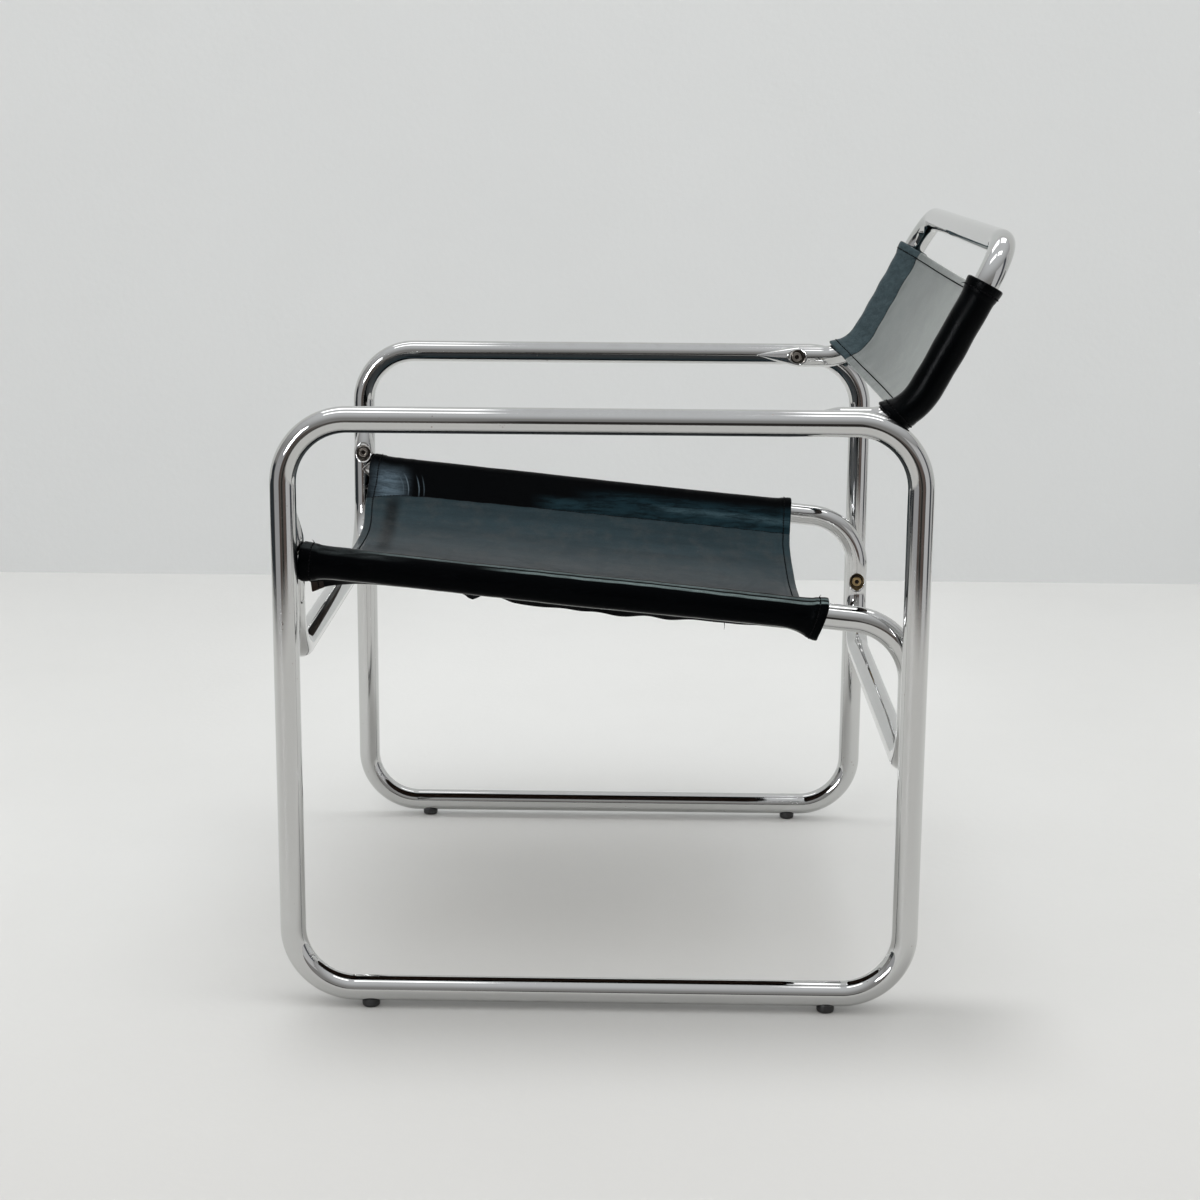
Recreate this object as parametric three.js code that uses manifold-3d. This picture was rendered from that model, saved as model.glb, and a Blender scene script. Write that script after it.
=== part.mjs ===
// Lounge chair: two closed side frames of bent steel tube, three inner tube forms screwed between
// them, and a seat sling and a back sling of leather with sewn sleeves.
// Millimetres, +Z up. X runs across the chair, the sitter faces -Y, and the floor is at Z = 0.
// Heights named here are above the runner's centre line unless their comment says otherwise.

import * as THREE from 'three';
import { mergeVertices } from 'three/addons/utils/BufferGeometryUtils.js';
import Module from 'manifold-3d';

const wasm = await Module();
wasm.setup();

// Tube stock, fits and the extra reach of every cut
const tubeRadius = 12.5;
const tubeWall = 2;
const tubeEndWall = 2;
const fit = 0.3;
const overrun = 5;

// Side frames: closed loops, measured on the tube's centre line
const sideSpacing = 619.3;
const sideLength = 600.7;
const sideHeight = 565.2;
const sideBend = 62;

// Seat frame: front hoop, sloping rails, rear legs and their cross bar
const hoopSetback = 2.35;
const hoopTipHeight = 497;
const frontBarHeight = 329.3;
const railFrontHeight = 426.5;
const railRearHeight = 367.5;
const railBend = 62;
const rearBarHeight = 220;
const barBend = 60;
const tipLength = 40;
const tipShares = [[0, 0.14], [0.22, 0.4], [0.58, 0.75]];

// Back frame: arms inside the armrests, leaning legs and the top bar
const backCornerInset = 12.35;
const backArmLength = 114;
const backRise = 164.8;
const backLean = THREE.MathUtils.degToRad(62);
const backArmBend = 60;
const backTopBend = 45;

// Pressed recesses in the inner tubes, one round each screw
const recessDepth = 7;
const recessFloorRadius = 7.4;
const recessMouthRadius = 11;

// Socket screws and the threaded bushes that take them
const frontScrewHeight = 446;
const rearScrewHeight = 293;
const armScrewReach = 67.2;
const screwRadius = 3;
const screwLength = 28;
const headRadius = 5.6;
const headHeight = 3.4;
const headChamfer = 0.6;
const socketAcrossFlats = 5;
const socketDepth = 2.2;
const bushRadius = 4.5;
const bushLength = 12;
const bushSink = 0.5;
const shoulderRadius = 5.3;
const shoulderHeight = 2;

// Glides pressed into the runners
const glideInset = 75.75;
const glideHeight = 6;
const glideRadius = 8.75;
const glideFootRadius = 7.3;
const glideRound = 2.2;
const glideRim = 3;
const stemRadius = 4;
const barbRadius = 4.8;
const barbHeight = 2.4;

// Leather slings: sleeves round the tubes, seams beside them, and the hang between the seams
const leather = 2.7;
const sleeveEase = 0.3;
const seamOverlap = 9;
const seat = { seamInset: 59.35, seamDrop: 27, sag: 66, flatness: 3.6, edgeBow: 4 };
const back = { seamInset: 44, seamDrop: 18, sag: 32, flatness: 1.8, edgeBow: 5 };
const seatSlingFrontGap = 1.9;
const seatSlingRearGap = 28;
const backSlingTopGap = 1;
const sleeveBendShare = 0.67;
const sleeveLagShare = 0.51;

// Facets
const outerSides = 20;
const boreSides = 12;
const smallSides = 16;
const bendStep = THREE.MathUtils.degToRad(15);
const sleeveStep = THREE.MathUtils.degToRad(10);
const panelSteps = 9;
const glideRoundSteps = 3;

// Places that several pieces share
const boreRadius = tubeRadius - tubeWall;
const boreFlat = boreRadius * Math.cos(Math.PI / boreSides);
const clearRadius = tubeRadius + fit;
const sleeveRadius = clearRadius + sleeveEase;
const sideX = sideSpacing / 2;
const innerX = sideX - tubeRadius - clearRadius;
const postY = sideLength / 2;
const hoopY = hoopSetback - postY;
const backCornerY = postY - backCornerInset;
const backTopY = backCornerY + backRise / Math.tan(backLean);
const backTopZ = sideHeight + backRise;
const backTipY = backCornerY - backArmLength;
const railSlope = Math.atan2(railFrontHeight - railRearHeight, postY - hoopY);
const floorZ = -tubeRadius - glideHeight;
const screwPlaces = {
  front: { y: hoopY, z: frontScrewHeight },
  rear: { y: postY, z: rearScrewHeight },
  arm: { y: backCornerY - armScrewReach, z: sideHeight },
};

const chrome = { color: 0xc9cacb, roughness: 0.08, metalness: 1 };
const finishes = {
  frame: new THREE.MeshStandardMaterial(chrome),
  screw: new THREE.MeshStandardMaterial({ color: 0x8f8a84, roughness: 0.35, metalness: 1 }),
  bush: new THREE.MeshStandardMaterial({ color: 0xb5a46f, roughness: 0.4, metalness: 1 }),
  glide: new THREE.MeshStandardMaterial({ color: 0x101011, roughness: 0.55, metalness: 0 }),
  leather: new THREE.MeshStandardMaterial({ color: 0x1b2226, roughness: 0.45, metalness: 0 }),
};

// Solids and meshes: a closed geometry becomes a solid with its faces turned out, and back again
function toSolid(geometry) {
  const plain = geometry.clone();
  plain.deleteAttribute('normal');
  plain.deleteAttribute('uv');
  const merged = mergeVertices(plain);
  const corners = merged.index.array;
  const faces = [];
  for (let first = 0; first < corners.length; first += 3) {
    const [a, b, c] = corners.slice(first, first + 3);
    if (a !== b && b !== c && c !== a) faces.push(a, b, c);
  }
  if (enclosedVolume(merged, faces) < 0) faces.reverse();
  return new wasm.Manifold(new wasm.Mesh({
    numProp: 3,
    vertProperties: new Float32Array(merged.attributes.position.array),
    triVerts: new Uint32Array(faces),
  }));
}

function enclosedVolume(geometry, faces) {
  const points = geometry.attributes.position;
  const [a, b, c] = [new THREE.Vector3(), new THREE.Vector3(), new THREE.Vector3()];
  let total = 0;
  for (let first = 0; first < faces.length; first += 3) {
    a.fromBufferAttribute(points, faces[first]);
    b.fromBufferAttribute(points, faces[first + 1]);
    c.fromBufferAttribute(points, faces[first + 2]);
    total += a.dot(b.cross(c));
  }
  return total;
}

function toGeometry(solid) {
  const mesh = solid.getMesh();
  const geometry = new THREE.BufferGeometry();
  geometry.setAttribute('position', new THREE.BufferAttribute(mesh.vertProperties, mesh.numProp));
  geometry.setIndex(new THREE.BufferAttribute(mesh.triVerts, 1));
  return geometry;
}

function cut(solid, tools) {
  return tools.reduce((left, tool) => left.subtract(tool), solid);
}

// A skin through rings of points, closed on itself or capped at both ends
function loft(rings, section, closed = false) {
  const count = section.length;
  const faces = [];
  const bands = closed ? rings.length : rings.length - 1;
  for (let band = 0; band < bands; band += 1) {
    const here = band * count;
    const next = ((band + 1) % rings.length) * count;
    for (let side = 0; side < count; side += 1) {
      const after = (side + 1) % count;
      faces.push(here + side, here + after, next + after);
      faces.push(here + side, next + after, next + side);
    }
  }
  if (!closed) {
    const last = (rings.length - 1) * count;
    for (const [a, b, c] of capFaces(section)) {
      faces.push(a, c, b);
      faces.push(last + a, last + b, last + c);
    }
  }
  const geometry = new THREE.BufferGeometry().setFromPoints(rings.flat());
  geometry.setIndex(faces);
  return toSolid(geometry);
}

// Triangles over an outline, all turned the same way as the outline runs
function capFaces(section) {
  return THREE.ShapeUtils.triangulateShape(section, []).map(([a, b, c]) => {
    const turnsLeft = THREE.ShapeUtils.area([section[a], section[b], section[c]]) > 0;
    return turnsLeft ? [a, b, c] : [a, c, b];
  });
}

// A round section, either on the circle or drawn round it so that its flats clear the circle
function roundSection(radius, sides, drawnRound = false) {
  const reach = drawnRound ? radius / Math.cos(Math.PI / sides) : radius;
  return Array.from({ length: sides }, (_, index) => {
    const angle = (index / sides) * 2 * Math.PI;
    return new THREE.Vector2(reach * Math.cos(angle), reach * Math.sin(angle));
  });
}

// The stations of one bend: points on the arc that joins two straight runs, with their directions
function bendStations(before, corner, after, radius, step = bendStep) {
  const entering = corner.clone().sub(before).normalize();
  const leaving = after.clone().sub(corner).normalize();
  const turn = entering.angleTo(leaving);
  const inward = leaving.clone().addScaledVector(entering, -Math.cos(turn)).normalize();
  const start = corner.clone().addScaledVector(entering, -radius * Math.tan(turn / 2));
  const centre = start.clone().addScaledVector(inward, radius);
  const steps = Math.max(1, Math.round(turn / step));
  return Array.from({ length: steps + 1 }, (_, index) => {
    const angle = (index / steps) * turn;
    const point = centre.clone()
      .addScaledVector(inward, -radius * Math.cos(angle))
      .addScaledVector(entering, radius * Math.sin(angle));
    const along = entering.clone().multiplyScalar(Math.cos(angle))
      .addScaledVector(inward, Math.sin(angle));
    return { point, along };
  });
}

// A bent centre line: open paths start and end at their first and last corner
function bentPath(corners, radii, closed = false) {
  const count = corners.length;
  if (closed) {
    return corners.flatMap((corner, index) => bendStations(
      corners[(index + count - 1) % count], corner, corners[(index + 1) % count], radii[index]));
  }
  const bends = radii.flatMap((radius, index) => bendStations(
    corners[index], corners[index + 1], corners[index + 2], radius));
  const first = { point: corners[0], along: corners[1].clone().sub(corners[0]).normalize() };
  const last = {
    point: corners[count - 1],
    along: corners[count - 1].clone().sub(corners[count - 2]).normalize(),
  };
  return [first, ...bends, last];
}

// Axes across the path at every station, carried along it without a twist
function withAxes(stations, firstSide) {
  const side = firstSide.clone();
  let previous = stations[0].along;
  return stations.map((station) => {
    side.applyQuaternion(new THREE.Quaternion().setFromUnitVectors(previous, station.along));
    previous = station.along;
    return { ...station, side: side.clone(), up: station.along.clone().cross(side) };
  });
}

// One ring of a swept section; a station's share makes its ring smaller than the section
function ring(station, section) {
  const share = station.share ?? 1;
  return section.map(({ x, y }) => station.point.clone()
    .addScaledVector(station.side, x * share)
    .addScaledVector(station.up, y * share));
}

function sweep(stations, section, closed = false) {
  return loft(stations.map((station) => ring(station, section)), section, closed);
}

// A path whose two ends narrow to a closed tip on the tube's outboard side
function withTips(stations) {
  const full = pulledIn(stations, tipLength);
  const tip = (end, inward) => tipShares.map(([reach, share]) => ({
    ...end,
    share,
    point: end.point.clone()
      .addScaledVector(end.along, inward * reach * tipLength)
      .add(new THREE.Vector3(Math.sign(end.point.x) * tubeRadius * (1 - share), 0, 0)),
  }));
  return [...tip(stations[0], 1), ...full, ...tip(stations.at(-1), -1).reverse()];
}

function pulledIn(stations, distance) {
  return stations.map((station, index) => {
    if (index !== 0 && index !== stations.length - 1) return station;
    const inward = index === 0 ? distance : -distance;
    return { ...station, point: station.point.clone().addScaledVector(station.along, inward) };
  });
}

// Turned pieces: a profile of radius and height turned about +Z
function turned(profile, sides = smallSides) {
  const points = profile.map(([radius, height]) => new THREE.Vector2(radius, height));
  return toSolid(new THREE.LatheGeometry(points, sides).rotateX(Math.PI / 2));
}

function rod(radius, from, to, sides = smallSides) {
  return turned([[0, from], [radius, from], [radius, to], [0, to]], sides);
}

// Turns a solid whose axis is +Z outboard, to the left or right, and moves it to a place
function outboard(solid, hand, x, place) {
  const quarterTurn = 90;
  return solid.rotate([0, hand * quarterTurn, 0]).translate([hand * x, place.y, place.z]);
}

// The recess of a screw, about an axis that points outboard from the inner tube's centre line
const recessFloor = recessDepth - tubeRadius;
const recessSpread = (recessMouthRadius - recessFloorRadius) / recessDepth;

function recessCone(thickness) {
  const wider = thickness * Math.hypot(1, recessSpread);
  const floor = recessFloor + thickness;
  const mouth = -tubeRadius - overrun;
  const radiusAt = (height) => recessFloorRadius + recessSpread * (recessFloor - height) + wider;
  return turned([[0, floor], [radiusAt(floor), floor], [radiusAt(mouth), mouth], [0, mouth]]);
}

const recessTool = recessCone(0);
const recessBacking = recessCone(tubeWall);
const screwHoleTool = rod(screwRadius + fit, recessFloor - fit, tubeRadius + overrun);
const bushHoleTool = rod(bushRadius + fit, -tubeRadius - overrun, 0);

// A bent inner tube with screw recesses: hollow, or with tapered closed ends if it has tips
function innerTube(stations, places, hasTips) {
  const ended = hasTips ? withTips(stations) : stations;
  const hollowed = hasTips ? pulledIn(stations, tipLength + tubeEndWall) : stations;
  const hands = places.flatMap((place) => [[1, place], [-1, place]]);
  const bore = cut(
    sweep(hollowed, roundSection(boreRadius, boreSides)),
    hands.map(([hand, place]) => outboard(recessBacking, hand, innerX, place)));
  return cut(sweep(ended, roundSection(tubeRadius, outerSides)), [
    bore,
    ...hands.map(([hand, place]) => outboard(recessTool, hand, innerX, place)),
    ...hands.map(([hand, place]) => outboard(screwHoleTool, hand, innerX, place)),
  ]);
}

// Side frame: a closed loop with a hole for every bush in its inboard wall and two for the glides
function sideFrame(hand) {
  const x = hand * sideX;
  const corners = [
    new THREE.Vector3(x, -postY, 0),
    new THREE.Vector3(x, postY, 0),
    new THREE.Vector3(x, postY, sideHeight),
    new THREE.Vector3(x, -postY, sideHeight),
  ];
  const path = bentPath(corners, corners.map(() => sideBend), true);
  const stations = withAxes(path, new THREE.Vector3(1, 0, 0));
  const glideHole = rod(stemRadius + fit, -tubeRadius - overrun, 0);
  return cut(sweep(stations, roundSection(tubeRadius, outerSides), true), [
    sweep(stations, roundSection(boreRadius, boreSides), true),
    ...Object.values(screwPlaces).map((place) => outboard(bushHoleTool, hand, sideX, place)),
    ...[-1, 1].map((end) => glideHole.translate([x, end * (postY - glideInset), 0])),
  ]);
}

// Seat front hoop: uprights and low cross bar
function hoopPath() {
  const corners = [
    new THREE.Vector3(-innerX, hoopY, hoopTipHeight),
    new THREE.Vector3(-innerX, hoopY, frontBarHeight),
    new THREE.Vector3(innerX, hoopY, frontBarHeight),
    new THREE.Vector3(innerX, hoopY, hoopTipHeight),
  ];
  return withAxes(bentPath(corners, [barBend, barBend]), new THREE.Vector3(1, 0, 0));
}

// Rails, rear legs and rear cross bar in one tube, coped round the hoop's uprights
function railPath() {
  const corners = [
    new THREE.Vector3(-innerX, hoopY, railFrontHeight),
    new THREE.Vector3(-innerX, postY, railRearHeight),
    new THREE.Vector3(-innerX, postY, rearBarHeight),
    new THREE.Vector3(innerX, postY, rearBarHeight),
    new THREE.Vector3(innerX, postY, railRearHeight),
    new THREE.Vector3(innerX, hoopY, railFrontHeight),
  ];
  const path = bentPath(corners, [railBend, barBend, barBend, railBend]);
  return withAxes(path, new THREE.Vector3(1, 0, 0));
}

function copes() {
  const reach = clearRadius + overrun;
  const section = roundSection(clearRadius, outerSides, true);
  return [-1, 1].map((hand) => {
    const ends = [-reach, reach].map((offset) => ({
      point: new THREE.Vector3(hand * innerX, hoopY, railFrontHeight + offset),
      along: new THREE.Vector3(0, 0, 1),
    }));
    return sweep(withAxes(ends, new THREE.Vector3(1, 0, 0)), section);
  });
}

// Back frame: arms, leaning legs and top bar
function backPath() {
  const corners = [
    new THREE.Vector3(-innerX, backTipY, sideHeight),
    new THREE.Vector3(-innerX, backCornerY, sideHeight),
    new THREE.Vector3(-innerX, backTopY, backTopZ),
    new THREE.Vector3(innerX, backTopY, backTopZ),
    new THREE.Vector3(innerX, backCornerY, sideHeight),
    new THREE.Vector3(innerX, backTipY, sideHeight),
  ];
  const path = bentPath(corners, [backArmBend, backTopBend, backTopBend, backArmBend]);
  return withAxes(path, new THREE.Vector3(1, 0, 0));
}

// Sling sections lie across the chair: x is the width, and y is the height over the tubes' axis.
// The panel hangs between two seams. Its leather runs on over the tube and comes back under it as a
// flap, sewn to the underside at the seam.
function panelDrop(sling, x) {
  const seamX = innerX - sling.seamInset;
  const share = Math.min(Math.abs(x) / seamX, 1) ** sling.flatness;
  return -sling.sag + (sling.sag - sling.seamDrop) * share;
}

// Half an outline of a loop from a seam point round the tube and back to the seam
function loopPoints(from, radius, steps) {
  const centre = new THREE.Vector2(innerX, 0);
  const toSeam = from.clone().sub(centre);
  const base = toSeam.angle() - 2 * Math.PI;
  const opening = Math.acos(radius / toSeam.length());
  const start = base + opening;
  const span = 2 * Math.PI - 2 * opening;
  return Array.from({ length: steps + 1 }, (_, index) => {
    const angle = start + (index / steps) * span;
    return new THREE.Vector2(innerX + radius * Math.cos(angle), radius * Math.sin(angle));
  });
}

function slingOutline(sling) {
  const seamX = innerX - sling.seamInset;
  const places = Array.from({ length: panelSteps + 1 }, (_, index) => (index / panelSteps) * seamX);
  const lower = places.map((x) => new THREE.Vector2(x, panelDrop(sling, x) - leather / 2));
  const upper = places.map((x) => new THREE.Vector2(x, panelDrop(sling, x) + leather / 2)).reverse();
  const seam = new THREE.Vector2(seamX + leather, panelDrop(sling, seamX));
  const loop = loopPoints(seam, sleeveRadius + leather, outerSides / 2);
  const flapEdge = new THREE.Vector2(seam.x, seam.y - leather / 2 - leather);
  const half = [...lower, flapEdge, ...loop, ...upper];
  const other = half.slice(1, -1).map(({ x, y }) => new THREE.Vector2(-x, y)).reverse();
  return [...half, ...other];
}

// The room inside a sleeve: the tube and the wedge between the two layers
function sleeveOutline(sling, hand) {
  const seamX = innerX - sling.seamInset;
  const toTube = new THREE.Vector2(innerX - seamX, sling.seamDrop).normalize();
  const stitch = new THREE.Vector2(seamX, -sling.seamDrop).addScaledVector(toTube, seamOverlap);
  const reach = sleeveRadius / Math.cos(Math.PI / outerSides);
  const points = [stitch, ...loopPoints(stitch, reach, outerSides / 2 + 2)];
  return hand > 0 ? points : points.map(({ x, y }) => new THREE.Vector2(-x, y)).reverse();
}

// Rings across the chair at stations in the middle plane; the edges bow in towards the middle
function slingRings(sling, stations, section, bowed) {
  return stations.map((station, index) => {
    const isEdge = bowed && (index === 0 || index === stations.length - 1);
    const inward = index === 0 ? sling.edgeBow : -sling.edgeBow;
    return section.map(({ x, y }) => {
      const bow = isEdge ? inward * (1 - (x / (innerX + sleeveRadius + leather)) ** 2) : 0;
      return station.point.clone()
        .add(new THREE.Vector3(x, 0, 0))
        .addScaledVector(station.up, y)
        .addScaledVector(station.along, y * (station.lean ?? 0) + bow);
    });
  });
}

function slingSolid(sling, stations) {
  const outline = slingOutline(sling);
  const longer = pulledIn(stations, -overrun);
  const rooms = [1, -1].map((hand) => {
    const outlineInside = sleeveOutline(sling, hand);
    return loft(slingRings(sling, longer, outlineInside, false), outlineInside);
  });
  return cut(loft(slingRings(sling, stations, outline, true), outline), rooms);
}

function middlePlane(stations) {
  return stations.map((station) => ({
    ...station,
    up: new THREE.Vector3(1, 0, 0).cross(station.along),
  }));
}

// Seat sling: straight sleeves along the rails, from the hoop to short of the rear bend
function seatStations() {
  const along = new THREE.Vector3(0, Math.cos(railSlope), -Math.sin(railSlope));
  const front = new THREE.Vector3(0, hoopY, railFrontHeight);
  const rear = new THREE.Vector3(0, postY, railRearHeight);
  const bendTurn = Math.PI / 2 - railSlope;
  const rearGap = railBend * Math.tan(bendTurn / 2) + seatSlingRearGap;
  return middlePlane([
    { point: front.addScaledVector(along, clearRadius + seatSlingFrontGap), along },
    { point: rear.addScaledVector(along, -rearGap), along },
  ]);
}

// Back sling: sleeves that follow the leg from its lower bend to the top bend.
// Their lower end lags behind the bend, so its rings lean.
function backStations() {
  const arm = new THREE.Vector3(0, backTipY, sideHeight);
  const corner = new THREE.Vector3(0, backCornerY, sideHeight);
  const top = new THREE.Vector3(0, backTopY, backTopZ);
  const bend = bendStations(arm, corner, top, backArmBend, sleeveStep);
  const up = bend.at(-1).along;
  const end = top.clone().addScaledVector(up, -backTopBend - backSlingTopGap);
  const kept = Math.round(sleeveBendShare * (bend.length - 1)) + 1;
  const held = bend.slice(-kept).map(({ point, along }) => {
    const lag = sleeveLagShare * up.angleTo(along);
    return { point, along, lean: -Math.tan(lag) };
  });
  return middlePlane([...held, { point: end, along: up }]);
}

// Socket screw, about its axis: the head's seat is on the recess floor
function screwSolid() {
  const seatHeight = recessFloor - fit;
  const headTop = seatHeight - headHeight;
  const body = turned([
    [0, headTop],
    [headRadius - headChamfer, headTop],
    [headRadius, headTop + headChamfer],
    [headRadius, seatHeight],
    [screwRadius, seatHeight],
    [screwRadius, seatHeight + screwLength - headChamfer],
    [screwRadius - headChamfer, seatHeight + screwLength],
    [0, seatHeight + screwLength],
  ]);
  const hexRadius = socketAcrossFlats / 2 / Math.cos(Math.PI / 6);
  return body.subtract(rod(hexRadius, headTop - overrun, headTop + socketDepth, 6));
}

// Threaded bush, about the same axis: flush in the inboard wall, with a shoulder behind it
function bushSolid() {
  const wallFace = tubeRadius + fit;
  const start = wallFace + bushSink;
  const shoulderSpan = shoulderRadius + hoopSetback;
  const wallBack = tubeRadius - Math.sqrt(boreFlat ** 2 - shoulderSpan ** 2);
  const shoulder = wallFace + wallBack + fit;
  return turned([
    [screwRadius + fit, start],
    [bushRadius, start],
    [bushRadius, shoulder],
    [shoulderRadius, shoulder],
    [shoulderRadius, shoulder + shoulderHeight],
    [bushRadius, shoulder + shoulderHeight],
    [bushRadius, start + bushLength],
    [screwRadius + fit, start + bushLength],
    [screwRadius + fit, start],
  ]);
}

// Glide, about its axis with the runner's centre line at zero height: a rounded foot with a saddle
// top that the runner sits in, and a barbed stem through the runner's lower wall
function glideSolid() {
  const footRound = Array.from({ length: glideRoundSteps + 1 }, (_, index) => {
    const angle = (index / glideRoundSteps) * (Math.PI / 2);
    return [
      glideFootRadius + (glideRadius - glideFootRadius) * Math.sin(angle),
      floorZ + glideRound * (1 - Math.cos(angle)),
    ];
  });
  const foot = turned([
    [0, floorZ],
    ...footRound,
    [glideRadius, glideRim - tubeRadius],
    [0, glideRim - tubeRadius],
  ], outerSides);
  const ends = [-glideRadius, glideRadius].map((y) => ({
    point: new THREE.Vector3(0, 2 * y, 0),
    along: new THREE.Vector3(0, 1, 0),
  }));
  const runner = sweep(withAxes(ends, new THREE.Vector3(1, 0, 0)),
    roundSection(clearRadius, outerSides, true));
  const barb = fit - Math.sqrt(boreFlat ** 2 - barbRadius ** 2);
  const stem = turned([
    [0, floorZ + glideRound],
    [stemRadius, floorZ + glideRound],
    [stemRadius, barb],
    [barbRadius, barb],
    [stemRadius / 2, barb + barbHeight],
    [0, barb + barbHeight],
  ]);
  return foot.subtract(runner).add(stem);
}

// Assembly
function named(name, geometry, finish) {
  const mesh = new THREE.Mesh(geometry, finish);
  mesh.name = name;
  return mesh;
}

const chair = new THREE.Group();
const hands = { left: 1, right: -1 };

for (const [word, hand] of Object.entries(hands)) {
  chair.add(named(`${word}_side_frame`, toGeometry(sideFrame(hand)), finishes.frame));
}

const hoop = innerTube(hoopPath(), [screwPlaces.front], true);
chair.add(named('seat_front_hoop', toGeometry(hoop), finishes.frame));

const rails = cut(innerTube(railPath(), [screwPlaces.rear], false), copes());
chair.add(named('seat_rail_tube', toGeometry(rails), finishes.frame));

const backFrame = innerTube(backPath(), [screwPlaces.arm], true);
chair.add(named('back_frame', toGeometry(backFrame), finishes.frame));

chair.add(named('seat_sling', toGeometry(slingSolid(seat, seatStations())), finishes.leather));
chair.add(named('back_sling', toGeometry(slingSolid(back, backStations())), finishes.leather));

const screwGeometry = toGeometry(screwSolid());
const bushGeometry = toGeometry(bushSolid());
for (const [word, hand] of Object.entries(hands)) {
  for (const [placeName, place] of Object.entries(screwPlaces)) {
    const screw = named(`${word}_${placeName}_screw`, screwGeometry, finishes.screw);
    const bush = named(`${word}_${placeName}_bush`, bushGeometry, finishes.bush);
    for (const piece of [screw, bush]) {
      piece.rotation.y = hand * (Math.PI / 2);
      piece.position.set(hand * innerX, place.y, place.z);
      chair.add(piece);
    }
  }
}

const glideGeometry = toGeometry(glideSolid());
for (const [word, hand] of Object.entries(hands)) {
  for (const [endName, end] of Object.entries({ front: -1, rear: 1 })) {
    const glide = named(`${word}_${endName}_glide`, glideGeometry, finishes.glide);
    glide.position.set(hand * sideX, end * (postY - glideInset), 0);
    chair.add(glide);
  }
}

// The chair stands on the floor with the middle of its footprint over the origin
const frontY = -postY - tubeRadius;
const rearY = Math.max(backTopY, postY) + tubeRadius;
chair.position.set(0, -(frontY + rearY) / 2, -floorZ);

const part = new THREE.Group();
part.add(chair);

export default part;
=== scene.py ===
# %% [markdown]
# # A lounge chair of bent steel tube and hung leather
#
# The real chair is made of few things. Two side frames are closed loops of chromed tube. Three
# more tubes are screwed between them: a hoop at the front, the seat rails with their rear legs,
# and the back frame with its two short arms. A leather seat and a leather back are sewn into
# sleeves that slide over those inner tubes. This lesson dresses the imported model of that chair:
# every tube becomes smooth, every edge of leather gets its hem and its stitches, and each finish
# is made from noise and masks. All lengths are in metres.

import math

import bpy
import numpy as np
from mathutils import Matrix, Vector


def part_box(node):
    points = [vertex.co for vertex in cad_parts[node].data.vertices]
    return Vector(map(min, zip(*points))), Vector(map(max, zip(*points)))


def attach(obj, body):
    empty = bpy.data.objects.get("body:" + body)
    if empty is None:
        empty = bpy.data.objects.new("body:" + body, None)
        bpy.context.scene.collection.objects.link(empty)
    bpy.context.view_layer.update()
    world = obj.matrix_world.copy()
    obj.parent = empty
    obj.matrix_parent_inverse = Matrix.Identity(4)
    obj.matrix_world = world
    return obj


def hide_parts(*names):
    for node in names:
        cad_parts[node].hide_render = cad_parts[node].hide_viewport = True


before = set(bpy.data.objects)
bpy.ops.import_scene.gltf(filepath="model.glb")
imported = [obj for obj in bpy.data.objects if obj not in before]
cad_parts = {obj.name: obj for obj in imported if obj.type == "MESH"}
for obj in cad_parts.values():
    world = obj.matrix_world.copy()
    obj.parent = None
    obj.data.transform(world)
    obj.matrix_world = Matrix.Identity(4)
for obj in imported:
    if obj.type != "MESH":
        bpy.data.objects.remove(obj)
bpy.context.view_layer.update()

# %% [markdown]
# ## Where the tubes run
#
# The frame's own boxes say where each tube is, so nothing has to be measured twice: the highest
# and lowest points of a tube are one radius from its centre line. Only what a box can't say, such
# as the radius of a bend, is written here as a value.

# %% Centre lines read from the frame
side_low, side_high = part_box("left_side_frame")
hoop_low, hoop_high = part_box("seat_front_hoop")
rails_low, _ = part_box("seat_rail_tube")
back_low, back_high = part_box("back_frame")

TUBE_RADIUS = (side_high.x - side_low.x) / 2
SIDE_X = (side_high.x + side_low.x) / 2
RUNNER_Z = side_low.z + TUBE_RADIUS
ARM_Z = side_high.z - TUBE_RADIUS
FRONT_POST_Y = side_low.y + TUBE_RADIUS
REAR_POST_Y = side_high.y - TUBE_RADIUS
INNER_X = hoop_high.x - TUBE_RADIUS
HOOP_Y = hoop_low.y + TUBE_RADIUS
FRONT_BAR_Z = hoop_low.z + TUBE_RADIUS
HOOP_TIP_Z = hoop_high.z
REAR_BAR_Z = rails_low.z + TUBE_RADIUS
ARM_TIP_Y = back_low.y
TOP_BAR_Y = back_high.y - TUBE_RADIUS
TOP_BAR_Z = back_high.z - TUBE_RADIUS
print(f"tube {TUBE_RADIUS * 2000:.1f} mm, sides at {SIDE_X:.4f}, inner tubes at {INNER_X:.4f}")

# %% Bends, slopes and ends
SIDE_BEND = 0.062
RAIL_BEND = 0.062
BAR_BEND = 0.060
ARM_BEND = 0.060
TOP_BEND = 0.045
RAIL_FRONT_Z = RUNNER_Z + 0.4265
RAIL_REAR_Z = RUNNER_Z + 0.3675
BACK_CORNER_Y = REAR_POST_Y - 0.01235
SEAT_FRONT = 0.0147


def middle_of(node):
    low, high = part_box(node)
    return (low + high) / 2


SCREW_AT = {word: middle_of(f"left_{word}_screw") for word in ("front", "rear", "arm")}
print("screws at", {word: tuple(round(c, 4) for c in at) for word, at in SCREW_AT.items()})

# %% [markdown]
# ## Effects that several finishes share
#
# Hair-fine scratches, leather grain and the dust and rubs of use turn up in more than one
# material, so each is a node group that is built once. A group only gives out masks and heights
# that change over the surface; the shader and its plain values stay in the material, where an
# export can read them. Object coordinates are used throughout, because the pieces lie where the
# frame has them and need no unwrapping.

# %% Small helpers for node trees


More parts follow.
